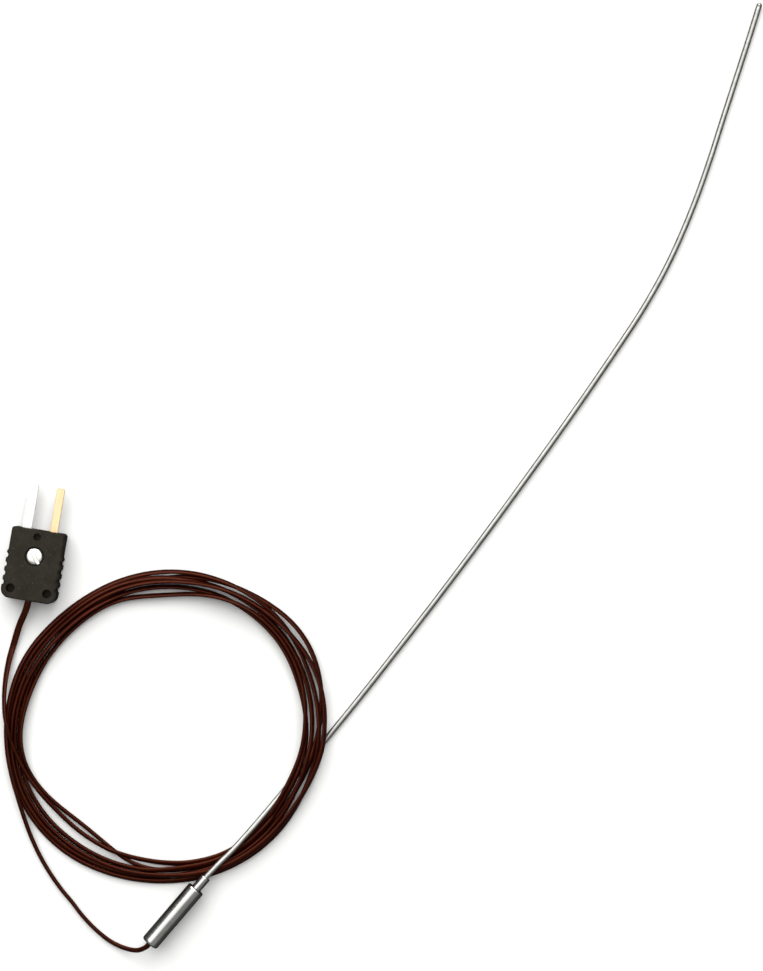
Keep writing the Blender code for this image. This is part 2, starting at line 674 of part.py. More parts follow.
def make_cover():
    cover = plate("plug_cover", plug_outline(), COVER_BOTTOM, COVER_TOP, PLUG_FRAME)
    chamfer_top(cover)
    below = COVER_BOTTOM - 0.2
    above = COVER_TOP + 0.5
    centre = COVER_SCREW_Y
    cut(cover,
        rod("cover_counterbore", COUNTERBORE_RADIUS, (0, centre, COUNTERBORE_BOTTOM), (0, centre, above),
            PLUG_FRAME),
        rod("cover_screw_hole", SCREW_HOLE_RADIUS, (0, centre, RETAINER_ROOM_TOP - 0.2),
            (0, centre, COUNTERBORE_BOTTOM + 0.2), PLUG_FRAME),
        rod("cover_retainer_room", RETAINER_ROOM_RADIUS, (0, centre, below), (0, centre, RETAINER_ROOM_TOP),
            PLUG_FRAME),
        *blade_slots("cover", below, BLADE_TOP + BLADE_ROOM))
    for side in (1, -1):
        middle = side * TAB_X
        hole = (side * CLAMP_HOLE_X, CLAMP_HOLE_Y)
        cut(cover,
            block(f"cover_terminal_well_{side}", (middle - WELL_HALF_WIDTH, TAB_Y - 2.4, below),
                  (middle + WELL_HALF_WIDTH, TAB_Y + WELL_HALF_WIDTH, WELL_TOP), PLUG_FRAME),
            rod(f"cover_clamp_hole_{side}", CLAMP_HOLE_RADIUS, (*hole, CLAMP_HOLE_BOTTOM), (*hole, above),
                PLUG_FRAME, 20))
    cut(cover,
        block("cover_cross_channel", (-2.5, -5.0, below), (2.5, -2.6, WIRE_ROOM_TOP), PLUG_FRAME),
        block("cover_wire_room", (-WIRE_ROOM_HALF_WIDTH, WIRE_ROOM_START, below),
              (WIRE_ROOM_HALF_WIDTH, -4.7, WIRE_ROOM_TOP), PLUG_FRAME),
        rod("cover_cord_channel", CORD_CHANNEL_RADIUS, (0, -11.0, CORD_HEIGHT),
            (0, CORD_CHANNEL_END, CORD_HEIGHT), PLUG_FRAME),
        rod("cover_gate_recess", GATE_RECESS_RADIUS, (0, GATE_RECESS_Y, GATE_RECESS_BOTTOM),
            (0, GATE_RECESS_Y, above), PLUG_FRAME, 16))
    finish(cover, "plug_plastic")


def blade_outline(side, width):
    """A blade with a round-cornered tip and a square terminal tab, seen from above."""
    middle = side * BLADE_PITCH / 2.0
    half = width / 2.0
    tip = PLUG_HALF_LENGTH + BLADE_REACH
    corner = BLADE_TIP_CORNER
    right = arc((middle + half - corner, tip - corner), corner, 90, 0, 4)
    left = arc((middle - half + corner, tip - corner), corner, 180, 90, 4)
    tab_top = TAB_Y + TAB_SIZE / 2.0
    tab_bottom = TAB_Y - TAB_SIZE / 2.0
    tab_left = side * TAB_X - TAB_SIZE / 2.0
    tab_right = side * TAB_X + TAB_SIZE / 2.0
    return right + [(middle + half, tab_top), (tab_right, tab_top), (tab_right, tab_bottom),
                    (tab_left, tab_bottom), (tab_left, tab_top), (middle - half, tab_top)] + left


def make_blades():
    for side, name, width, metal in ((1, "positive", POSITIVE_BLADE_WIDTH, "gold_plate"),
                                     (-1, "negative", NEGATIVE_BLADE_WIDTH, "nickel_plate")):
        blade = plate(name + "_blade", blade_outline(side, width), BLADE_BOTTOM, BLADE_TOP, PLUG_FRAME)
        cut(blade, rod(name + "_blade_hole", TAB_HOLE_RADIUS, (side * TAB_X, TAB_Y, BLADE_BOTTOM - 0.5),
                       (side * TAB_X, TAB_Y, BLADE_TOP + 0.5), PLUG_FRAME, 16))
        finish(blade, metal)


def cut_slot(screw, name, centre, width, bottom, heading=0.0):
    """Cuts a screwdriver slot across a screw's head."""
    height = 0.8
    slot = block(name, (-3.0, -width / 2.0, -height / 2.0), (3.0, width / 2.0, height / 2.0), PLUG_FRAME)
    slot.location = Vector((*centre, bottom + height / 2.0)) * MM
    slot.rotation_euler = (0.0, 0.0, math.radians(heading))
    cut(screw, slot)


def make_cover_screw():
    axis = (0.0, COVER_SCREW_Y, 0.0)
    head = COVER_SCREW_HEAD_RADIUS
    shank = COVER_SCREW_SHANK_RADIUS
    screw = turned("cover_screw", [
        (0.0, COVER_SCREW_HEAD_TOP), (head - 0.4, COVER_SCREW_HEAD_TOP - 0.05),
        (head, COVER_SCREW_HEAD_TOP - 0.35), (head, COVER_SCREW_HEAD_BOTTOM),
        (shank, COVER_SCREW_HEAD_BOTTOM), (shank, COVER_SCREW_END + 0.2),
        (shank - 0.2, COVER_SCREW_END), (0.0, COVER_SCREW_END),
    ], PLUG_FRAME, axis, sides=28)
    cut_slot(screw, "cover_screw_slot", axis[:2], 0.76, COVER_SCREW_SLOT_BOTTOM, COVER_SCREW_SLOT)
    finish(screw, "bright_steel", smooth=False)

    retainer = turned("screw_retainer", [
        (RETAINER_RADIUS, RETAINER_TOP), (RETAINER_RADIUS, RETAINER_BOTTOM),
        (RETAINER_BORE, RETAINER_BOTTOM), (RETAINER_BORE, RETAINER_TOP),
    ], PLUG_FRAME, axis)
    finish(retainer, "spring_steel", smooth=False)

    nut = rod("cover_nut", NUT_RADIUS, (0, COVER_SCREW_Y, NUT_BOTTOM), (0, COVER_SCREW_Y, NUT_TOP),
              PLUG_FRAME, 6)
    cut(nut, rod("nut_bore", COVER_SCREW_SHANK_RADIUS + 0.1, (0, COVER_SCREW_Y, NUT_BOTTOM - 0.2),
                 (0, COVER_SCREW_Y, NUT_TOP + 0.5), PLUG_FRAME))
    finish(nut, "bright_steel", smooth=False)


def make_terminal(side, name, hook_start, hook_end, lead_in, core_route, core_material, metal):
    axis = (side * TAB_X, TAB_Y, 0.0)
    head = TERMINAL_HEAD_RADIUS
    screw = turned("terminal_screw_" + name, [
        (0.0, TERMINAL_HEAD_TOP), (head - 0.3, TERMINAL_HEAD_TOP - 0.05), (head, TERMINAL_HEAD_TOP - 0.35),
        (head, TERMINAL_HEAD_BOTTOM), (TERMINAL_SHANK_RADIUS, TERMINAL_HEAD_BOTTOM),
        (TERMINAL_SHANK_RADIUS, TERMINAL_END), (0.0, TERMINAL_END),
    ], PLUG_FRAME, axis, sides=20)
    cut_slot(screw, "terminal_slot_" + name, axis[:2], 0.5, TERMINAL_SLOT_BOTTOM)
    finish(screw, "bright_steel", smooth=False)

    washer = turned("clamp_washer_" + name, [
        (WASHER_RADIUS, WASHER_TOP), (WASHER_RADIUS, WASHER_BOTTOM),
        (WASHER_BORE, WASHER_BOTTOM), (WASHER_BORE, WASHER_TOP),
    ], PLUG_FRAME, axis, sides=20)
    finish(washer, "nickel_plate", smooth=False)

    hook = [(x, y, STRAND_HEIGHT) for x, y in arc(axis, HOOK_RADIUS, hook_start, hook_end, 12)]
    strand = sweep(name + "_strand", lead_in + hook, STRAND_RADIUS, PLUG_FRAME, resolution=1)
    finish(as_mesh(strand), metal)
    core = sweep(name + "_core_in_plug", smooth_path(core_route, 7), CORE_RADIUS, PLUG_FRAME)
    finish(as_mesh(core), core_material)


def make_terminals():
    make_terminal(1, "positive", 180, -30,
                  [(2.35, -3.95, 4.62), (2.95, -3.3, STRAND_HEIGHT)],
                  [(0.43, -7.9, CORD_HEIGHT), (0.7, -7.0, 4.1), (1.3, -5.8, 4.4), (1.95, -4.55, 4.6)],
                  "white_insulation", "iron")
    make_terminal(-1, "negative", 250, 40,
                  [(-2.35, -4.0, 4.62), (-3.4, -3.78, STRAND_HEIGHT)],
                  [(-0.43, -7.9, CORD_HEIGHT), (-0.7, -7.0, 4.1), (-1.2, -5.8, 4.4), (-1.8, -4.6, 4.6)],
                  "red_insulation", "constantan")


make_probe()
make_joint()
make_lead()
make_coil()
make_base()
make_cover()
make_blades()
make_cover_screw()
make_terminals()
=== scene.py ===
"""Looks of the sheathed thermocouple: its coiled brown lead, bright sheath and joint, and the
black two-blade plug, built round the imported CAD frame.

Lengths are in millimetres and scaled by MM; the frame itself is in metres.
"""
import json
import math

import bmesh
import bpy
import numpy as np
from mathutils import Matrix, Vector

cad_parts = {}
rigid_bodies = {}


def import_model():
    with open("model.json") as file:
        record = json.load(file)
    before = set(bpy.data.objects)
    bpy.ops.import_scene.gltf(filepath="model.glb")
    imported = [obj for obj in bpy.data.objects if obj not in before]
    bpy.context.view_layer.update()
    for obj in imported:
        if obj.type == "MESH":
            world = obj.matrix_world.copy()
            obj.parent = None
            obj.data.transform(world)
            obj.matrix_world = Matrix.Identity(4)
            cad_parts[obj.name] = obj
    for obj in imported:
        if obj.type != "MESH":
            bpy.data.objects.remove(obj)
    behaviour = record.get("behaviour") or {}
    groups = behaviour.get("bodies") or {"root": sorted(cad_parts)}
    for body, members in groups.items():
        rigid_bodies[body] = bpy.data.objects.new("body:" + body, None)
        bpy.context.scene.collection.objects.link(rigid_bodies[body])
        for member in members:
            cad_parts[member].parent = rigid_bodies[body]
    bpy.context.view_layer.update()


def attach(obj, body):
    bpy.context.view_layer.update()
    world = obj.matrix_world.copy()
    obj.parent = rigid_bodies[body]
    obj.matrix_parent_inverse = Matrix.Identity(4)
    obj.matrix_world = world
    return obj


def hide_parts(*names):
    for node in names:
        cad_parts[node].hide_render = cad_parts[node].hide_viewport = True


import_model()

MM = 0.001
ROOT = "probe_and_plug_base"

# ---------------- sizes shared with part.py

JOINT_LEAD_END = Vector((-160.7, -20.2, 4.45))
SLEEVE_RADIUS = 2.6
SLEEVE_WALL = 0.4
SLEEVE_LENGTH = 20.7
COLLAR_RADIUS = 1.45
COLLAR_END = 25.1
BUSH_START = 17.7
SHEATH_START = 17.0
SHEATH_RADIUS = 0.794
JOINT_MIDDLE = 12.0
JACKET_INTO_JOINT = 2.8
PROBE_ON_TABLE = 0.81
LEAD_ON_TABLE = 0.95
CORD_HEIGHT = 4.05
CORD_END = -8.1
PLUG_CENTRE = Vector((-99.4, 75.85, 0.0))
PLUG_HEADING = 30.8
PLUG_HALF_LENGTH = 10.3

# The probe comes down from the joint and runs along the table to its tip
PROBE_DESCENT = [
    (-139.0, -20.2, 4.45), (-135.6, -20.2, 4.45), (-130.0, -20.5, 4.32), (-124.3, -21.0, 4.0),
    (-115.0, -21.25, 3.1), (-106.0, -21.25, 2.15), (-95.0, -21.05, 1.35), (-83.0, -20.8, 0.95),
]
PROBE_LAID = [
    (-70.0, -20.5), (-54.0, -19.9), (-31.0, -18.8), (-8.0, -17.35), (15.5, -15.55), (38.5, -13.5),
    (61.5, -11.0), (73.0, -9.4), (84.4, -7.1), (95.5, -4.0), (106.5, -0.3), (117.3, 3.9),
    (128.0, 8.4), (149.4, 17.3), (159.8, 21.75),
]
PROBE_ROUTE = PROBE_DESCENT + [(x, y, PROBE_ON_TABLE) for x, y in PROBE_LAID]
# How many of the probe's points it takes to pass the coil
PROBE_PAST_COIL = 10
JOINT_TAIL_ROUTE = [
    (-162.4, -20.1, 4.2), (-164.6, -19.0, 3.3), (-166.2, -17.0, 2.2), (-167.4, -14.4, 1.35),
    (-168.2, -11.2, 0.98), (-168.4, -7.5, LEAD_ON_TABLE), (-168.2, -3.4, LEAD_ON_TABLE),
    (-167.6, 0.8, LEAD_ON_TABLE),
]
PLUG_TAIL_ROUTE = [(-119.3, 66.5, 1.3), (-116.9, 67.5, 1.75), (-114.3, 68.4, 2.5), (-111.6, 69.1, 3.4)]


def joint_point(along):
    """A point on the joint's axis, so far from its lead end."""
    return JOINT_LEAD_END + Vector((along, 0.0, 0.0))


def plug_point(x, y, z):
    """A point in the plug's own frame: x across, y towards the blades, z up."""
    return PLUG_CENTRE + Matrix.Rotation(math.radians(PLUG_HEADING - 90.0), 3, "Z") @ Vector((x, y, z))


# ---------------- camera, floor and light

CAMERA_HEIGHT = 840.0
CAMERA_OVER = (-16.9, 14.65)
CAMERA_TURN = -49.5
SENSOR = 36.0
VIEW_LENGTH = 281.4
NEAREST_SEEN = 10.0
FLOOR_COLOUR = (0.93, 0.93, 0.925)
FLOOR_HALF_SIZE = 6000.0
FLOOR_BELOW = 0.03
# How much of its light the floor shows in the metal and the plastic, as if black cards stood round it
FLOOR_IN_GLOSS = 0.06

# One large soft box: its brightness from the horizon behind it (0) over the zenith (0.5) to the horizon
# that it leans towards (1)
BOX_AZIMUTH = 50.0
BOX_LEVELS = [(0.0, 0.0), (0.42, 0.0), (0.47, 0.22), (0.55, 0.33), (0.66, 0.55), (0.78, 0.85), (0.86, 1.0),
              (0.895, 1.0), (0.91, 0.0)]
BOX_HALF_WIDTH = 0.50
BOX_FADED_AT = 1.25 * BOX_HALF_WIDTH
BOX_BRIGHTNESS = 4.8
BOX_COLOUR = (1.0, 1.0, 0.985)
# The room: brightness from the ground (0) to the zenith (1)
ROOM_LEVELS = [(0.0, 0.05), (0.25, 0.10), (0.6, 0.30), (1.0, 0.34)]


def make_camera():
    """A camera straight above the object, turned as the photo is."""
    data = bpy.data.cameras.new("camera")
    data.sensor_width = SENSOR
    data.lens = SENSOR * CAMERA_HEIGHT / VIEW_LENGTH
    data.clip_start = NEAREST_SEEN * MM
    camera = bpy.data.objects.new("camera", data)
    camera.location = Vector((*CAMERA_OVER, CAMERA_HEIGHT)) * MM
    camera.rotation_euler = (0.0, 0.0, math.radians(CAMERA_TURN))
    bpy.context.scene.collection.objects.link(camera)
    bpy.context.scene.camera = camera


def set_inputs(node, values):
    """Sets a node's inputs by their names."""
    for name, value in values.items():
        node.inputs[name].default_value = value


def add_math(tree, operation, *values):
    """A maths node fed by sockets or plain numbers."""
    node = tree.nodes.new("ShaderNodeMath")
    node.operation = operation
    for slot, value in zip(node.inputs, values):
        if isinstance(value, float):
            slot.default_value = value
        else:
            tree.links.new(value, slot)
    return node.outputs[0]


def add_ramp(tree, source, stops):
    """A brightness that changes along a value from 0 to 1."""
    ramp = tree.nodes.new("ShaderNodeValToRGB")
    elements = ramp.color_ramp.elements
    while len(elements) < len(stops):
        elements.new(0.5)
    for element, (place, level) in zip(elements, stops):
        element.position = place
        element.color = (level, level, level, 1.0)
    tree.links.new(source, ramp.inputs["Fac"])
    return ramp.outputs["Color"]


def make_floor():
    """A white table that shows only faintly in the glossy parts."""
    shape = bmesh.new()
    bmesh.ops.create_grid(shape, x_segments=8, y_segments=8, size=FLOOR_HALF_SIZE * MM)
    mesh = bpy.data.meshes.new("floor")
    shape.to_mesh(mesh)
    shape.free()
    floor = bpy.data.objects.new("floor", mesh)
    floor.location = (0.0, 0.0, -FLOOR_BELOW * MM)
    bpy.context.scene.collection.objects.link(floor)
    material = bpy.data.materials.new("floor_paper")
    material.use_nodes = True
    tree = material.node_tree
    shader = tree.nodes["Principled BSDF"]
    set_inputs(shader, {"Roughness": 0.9, "Specular IOR Level": 0.0})
    dark = tuple(channel * FLOOR_IN_GLOSS for channel in FLOOR_COLOUR)
    shade = tree.nodes.new("ShaderNodeMix")
    shade.data_type = "RGBA"
    set_inputs(shade, {"A": (*FLOOR_COLOUR, 1.0), "B": (*dark, 1.0)})
    tree.links.new(tree.nodes.new("ShaderNodeLightPath").outputs["Is Glossy Ray"], shade.inputs["Factor"])
    tree.links.new(shade.outputs["Result"], shader.inputs["Base Color"])
    mesh.materials.append(material)


def make_light():
    """A dim room and one large soft box, from a little behind the zenith nearly down to the horizon."""
    world = bpy.data.worlds.new("studio")
    bpy.context.scene.world = world
    world.use_nodes = True
    tree = world.node_tree
    axes = tree.nodes.new("ShaderNodeSeparateXYZ")
    tree.links.new(tree.nodes.new("ShaderNodeTexCoord").outputs["Generated"], axes.inputs["Vector"])
    east, north, high = axes.outputs["X"], axes.outputs["Y"], axes.outputs["Z"]
    turn = math.radians(BOX_AZIMUTH)
    towards = add_math(tree, "ADD", add_math(tree, "MULTIPLY", east, math.cos(turn)),
                       add_math(tree, "MULTIPLY", north, math.sin(turn)))
    across = add_math(tree, "SUBTRACT", add_math(tree, "MULTIPLY", north, math.cos(turn)),
                      add_math(tree, "MULTIPLY", east, math.sin(turn)))
    angle = add_math(tree, "ARCTAN2", towards, high)
    share = add_math(tree, "MULTIPLY_ADD", angle, 1.0 / math.pi, 0.5)
    box = add_ramp(tree, share, BOX_LEVELS)
    edge = tree.nodes.new("ShaderNodeMapRange")
    edge.interpolation_type = "SMOOTHSTEP"
    set_inputs(edge, {"From Min": BOX_HALF_WIDTH, "From Max": BOX_FADED_AT, "To Min": BOX_BRIGHTNESS,
                      "To Max": 0.0})
    tree.links.new(add_math(tree, "ABSOLUTE", across), edge.inputs["Value"])
    lit = add_math(tree, "MULTIPLY", box, edge.outputs["Result"])
    room = add_ramp(tree, high, ROOM_LEVELS)
    background = tree.nodes["Background"]
    set_inputs(background, {"Color": (*BOX_COLOUR, 1.0)})
    tree.links.new(add_math(tree, "ADD", lit, room), background.inputs["Strength"])
    bpy.context.scene.view_settings.view_transform = "Standard"


# ---------------- the lead's route

# Half the lead's width and half its thickness, and the waist between its two cores
LEAD_WIDE = 0.98
LEAD_NARROW = 0.59
WAIST_DEPTH = 0.10
WAIST_REACH = 0.3
LEAD_SIDES = 20
# How far the lead runs straight on either side of a hole's mouth
LEAD_STRAIGHT = 0.6
PATH_SPACING = 0.8
CROSSING_SPACING = 0.5
CURVE_STEPS = 10

# The coil is followed from its plug end, in degrees round its centre
COIL_CENTRE = (-110.6, 17.0)
TURNS = 6
FIRST_TURN = 120.0
COIL_START = 102.5
COIL_END = COIL_START + 6.25 * 360.0
SAMPLE_ANGLE = 2.5
EDGE_STEP = 15.0
PLACE_STEP = 30.0

# The coil's outer and inner edges, at every EDGE_STEP from FIRST_TURN
COIL_OUTER = [46.6, 46.9, 47.3, 47.5, 47.1, 46.2, 45.5, 45.3, 45.2, 45.2, 45.2, 45.3,
              46.4, 47.0, 47.3, 46.9, 46.9, 46.3, 45.7, 45.2, 44.6, 44.1, 44.5, 46.0]
COIL_INNER = [39.7, 41.3, 42.8, 42.7, 42.1, 41.3, 40.8, 39.3, 40.2, 40.2, 38.8, 38.4,
              39.5, 39.6, 39.8, 40.6, 40.4, 40.0, 38.9, 38.7, 38.7, 38.2, 38.3, 38.7]

# Each turn's place across the coil, 0 inside to 5 outside, at every PLACE_STEP from FIRST_TURN
TURN_PLACES = [
    [5.6, 0.5, 0.0, 0.0, 0.0, 0.0, 0.0, 1.0, 1.0, 0.0, 0.0, 0.0],
    [0.4, 0.0, 0.0, 1.0, 2.0, 2.0, 3.0, 4.2, 5.0, 4.0, 2.2, 1.5],
    [1.0, 0.2, 0.0, 0.8, 1.0, 1.0, 1.0, 0.0, 0.0, 1.0, 1.0, 1.2],
    [2.0, 1.9, 1.7, 2.2, 4.0, 4.0, 5.0, 5.0, 3.0, 2.5, 2.6, 2.8],
    [3.0, 3.3, 3.4, 3.6, 3.0, 3.0, 2.0, 2.0, 2.0, 3.1, 4.1, 3.9],
    [4.0, 4.8, 5.0, 5.0, 5.0, 5.0, 4.0, 3.1, 4.3, 5.0, 5.0, 5.0],
    [5.0, 5.0, 5.0],
]

# Stretches where one turn strays from the others, as angle along the lead and radius
STRAYS = [
    [(102.5, 49.8), (107, 49.1), (113, 48.15), (120, 47.1), (130, 45.6), (138, 43.9),
     (146, 42.7), (153, 41.6), (160, 40.3), (166, 39.5), (175, 39.15), (190, 38.9), (205, 38.8),
     (215, 39.1), (225, 39.7), (235, 40.5)],
    [(372, 41.1), (378, 40.7), (385, 39.75), (391, 38.7), (397, 38.0), (403, 37.75), (410, 37.95),
     (416, 38.6), (421, 39.2), (427, 39.1)],
    [(470, 39.6), (480, 40.4), (487, 41.2), (495, 42.0), (502, 42.3), (510, 41.5), (516, 40.5),
     (521, 39.7), (525, 38.7), (533, 37.3), (540, 36.8), (547, 37.0), (555, 38.0), (563, 39.9),
     (571, 41.5)],
    [(672, 44.9), (681, 46.1), (690, 47.2), (698, 47.9), (705, 48.0), (712, 47.5), (720, 46.4),
     (730, 45.4)],
    [(2270, 45.2), (2285, 45.7), (2300, 46.0), (2310, 46.1), (2317, 46.9), (2323, 48.1), (2328, 49.5),
     (2333, 51.1), (2340, 53.1), (2347, 55.4), (2352.5, 57.5)],
]

# How many layers up each turn starts when the coil is laid down; both of its ends lie on the others
LAYERS = [6.0, 1.0, 3.0, 5.0, 4.0, 2.0, 6.0]
# How far the coil's own spring holds it off the table, at every PLACE_STEP from FIRST_TURN
COIL_SPRING = [0.0, 0.0, 0.0, 0.0, 0.0, 0.2, 1.2, 1.4, 1.1, 0.8, 0.5, 0.2]
# Where round the coil, in degrees, the lead passes under the joint, beside the sheath and over it
UNDER_JOINT = (222.0, 262.0)
BESIDE_SHEATH = 274.0
OVER_SHEATH_TO = 314.0

# The tilt of the lead's wide side from upright, in degrees: as a rule, its wandering, where the joint lies
# on it, and at both ends
COIL_TILT = 21.0
TILT_WANDER = 10.0
WANDER_RATES = (2.3, 0.71)
FLAT_TILT = 58.0
FLAT_AT = 243.0
FLAT_REACH = 40.0
PLUG_TILT = 80.0
PLUG_TILT_ANGLES = [COIL_START, 108.0, 115.0, 126.0]
PLUG_TILT_SHARES = [0.85, 0.6, 0.3, 0.0]
JOINT_END_TILT = 45.0
JOINT_TAIL_TILT = 10.0
PLUG_TAIL_TILT = 84.0
PLUG_END_TILT = 88.0
TILT_SMOOTHING = 8

# How the coil is laid down: the fall at each step in the first and second half, and how much a step evens
# out the height and the radius and brings back the wanted radius
SETTLE_STEPS = 1200
FIRST_FALL = 0.04
LAST_FALL = 0.01
LAYER_HEIGHT = 1.2
TABLE_GAP = 0.02
EVEN_HEIGHT = 0.5
EVEN_RADIUS = 0.2
RECALL_RADIUS = 0.25
# Keeps two sections at the same place from dividing by zero
NEVER_NIL = 1e-6


def around(values, angle, step):
    """Values given every step degrees round the coil, read at other angles."""
    stations = np.arange(len(values) + 1) * step
    return np.interp((angle - FIRST_TURN) % 360.0, stations, values + values[:1])


def smoothed(values, reach, times=3):
    """Values averaged along the lead, ends kept in line."""
    window = np.ones(2 * reach + 1) / (2 * reach + 1)
    steps = np.arange(1, reach + 1)
    for _ in range(times):
        before = values[0] - (values[1] - values[0]) * steps[::-1]
        after = values[-1] + (values[-1] - values[-2]) * steps
        values = np.convolve(np.concatenate([before, values, after]), window, "valid")
    return values


def coil_tilt(angle):
    """The angle of the lead's wide side from upright: it lies flatter where the joint rests on it."""
    away = np.clip(np.abs(angle % 360.0 - FLAT_AT) / FLAT_REACH, 0.0, 1.0)
    slow, slower = (np.sin(np.radians(angle * rate)) for rate in WANDER_RATES)
    twist = COIL_TILT + TILT_WANDER * slow * slower
    tilt = twist + (FLAT_TILT - twist) * np.cos(away * math.pi / 2.0) ** 2
    near_plug = np.interp(angle, PLUG_TILT_ANGLES, PLUG_TILT_SHARES)
    return np.radians(tilt + (PLUG_TILT - tilt) * near_plug)


def wanted_radius(angle):
    """Where each of the coil's sections belongs, seen from above."""
    places = [place for row in TURN_PLACES for place in row]
    place = np.interp((angle - FIRST_TURN) / PLACE_STEP, np.arange(len(places)), places)
    inner = around(COIL_INNER, angle, EDGE_STEP) + LEAD_NARROW
    outer = around(COIL_OUTER, angle, EDGE_STEP) - LEAD_NARROW
    radius = inner + (outer - inner) * place / (TURNS - 1)
    for stray in STRAYS:
        angles = [point[0] for point in stray]
        inside = (angle >= angles[0]) & (angle <= angles[-1])
        radius[inside] = np.interp(angle[inside], angles, [point[1] for point in stray])
    return smoothed(radius, 2)


def smooth_path(route, spacing):
    """Evenly spaced points on the smooth curve through a route's own points."""
    route = [Vector(point) for point in route]
    knots = [2 * route[0] - route[1]] + route + [2 * route[-1] - route[-2]]
    fine = []
    for a, b, c, d in zip(knots, knots[1:], knots[2:], knots[3:]):
        for step in range(CURVE_STEPS):
            t = step / CURVE_STEPS
            fine.append(0.5 * (2 * b + (c - a) * t + (2 * a - 5 * b + 4 * c - d) * t ** 2
                               + (3 * b - a - 3 * c + d) * t ** 3))
    fine.append(route[-1])
    fine = np.array(fine)
    reach = np.concatenate([[0.0], np.cumsum(np.linalg.norm(np.diff(fine, axis=0), axis=1))])
    count = max(2, round(reach[-1] / spacing))
    wanted = np.linspace(0.0, reach[-1], count + 1)
    return np.stack([np.interp(wanted, reach, fine[:, axis]) for axis in range(3)], axis=1)


def joint_across(angle):
    """Where each of the coil's sections meets the joint and sheath: radius, height and thickness."""
    route = [joint_point(0.0), joint_point(JOINT_MIDDLE)] + PROBE_ROUTE[:PROBE_PAST_COIL]
    line = smooth_path(route, CROSSING_SPACING)
    across = line[:, :2] - np.array(COIL_CENTRE)
    direction = np.degrees(np.arctan2(across[:, 1], across[:, 0])) % 360.0
    along = line[:, 0] - JOINT_LEAD_END.x
    thickness = np.where(along < COLLAR_END, COLLAR_RADIUS, SHEATH_RADIUS)
    thickness = np.where(along < SLEEVE_LENGTH, SLEEVE_RADIUS, thickness)
    turn = angle % 360.0
    return [np.interp(turn, direction, values) for values in
            (np.linalg.norm(across, axis=1), line[:, 2], thickness)]


def settle(angle):
    """Lays the coil's turns on the table, on each other, under the joint and over the sheath."""
    radius = wanted_radius(angle)
    wanted = radius.copy()
    tilt = coil_tilt(angle)
    half_width = np.hypot(LEAD_WIDE * np.sin(tilt), LEAD_NARROW * np.cos(tilt))
    half_height = np.hypot(LEAD_WIDE * np.cos(tilt), LEAD_NARROW * np.sin(tilt))
    layer = np.interp(angle, [FIRST_TURN + 360.0 * turn + 180.0 for turn in range(TURNS + 1)], LAYERS)
    height = half_height + LAYER_HEIGHT * layer
    lowest = half_height + TABLE_GAP + around(COIL_SPRING, angle, PLACE_STEP)
    joint_radius, joint_height, thickness = joint_across(angle)
    turn_angle = angle % 360.0
    under = (turn_angle > UNDER_JOINT[0]) & (turn_angle < UNDER_JOINT[1])
    beside = (turn_angle >= UNDER_JOINT[1]) & (turn_angle < BESIDE_SHEATH)
    over = (turn_angle >= BESIDE_SHEATH) & (turn_angle < OVER_SHEATH_TO)
    reach = thickness + half_width
    rise = thickness + half_height
    per_turn = round(360.0 / SAMPLE_ANGLE)
    ends = (radius[0], radius[-1])
    for step in range(SETTLE_STEPS):
        height -= FIRST_FALL if step < SETTLE_STEPS // 2 else LAST_FALL
        for line, share in ((height, EVEN_HEIGHT), (radius, EVEN_RADIUS)):
            line[1:-1] += share * (0.5 * (line[:-2] + line[2:]) - line[1:-1])
        radius += RECALL_RADIUS * (wanted - radius)
        for turns in range(1, TURNS + 1):
            a = slice(0, len(angle) - per_turn * turns)
            b = slice(per_turn * turns, len(angle))
            width = 2.0 * half_width[a]
            tall = 2.0 * half_height[a]
            across = (radius[b] - radius[a]) / width
            upward = (height[b] - height[a]) / tall
            apart = np.hypot(across, upward) + NEVER_NIL
            push = np.clip(1.0 - apart, 0.0, None) * 0.5 / apart
            radius[a] -= 0.5 * push * across * width
            radius[b] += 0.5 * push * across * width
            height[a] -= push * upward * tall
            height[b] += push * upward * tall
        offset = (radius - joint_radius) / reach
        crossing = np.abs(offset) < 1.0
        room = rise * np.sqrt(np.clip(1.0 - offset ** 2, 0.0, 1.0))
        height = np.where(under & crossing, np.minimum(height, joint_height - room), height)
        height = np.where(over & crossing, np.maximum(height, joint_height + room), height)
        level = np.clip(np.abs(height - joint_height) / rise, 0.0, 1.0)
        clear = joint_radius + reach * np.sqrt(1.0 - level ** 2)
        radius = np.where(beside, np.maximum(radius, clear), radius)
        height = np.maximum(height, lowest)
        radius[0], radius[-1] = ends
    return radius, height


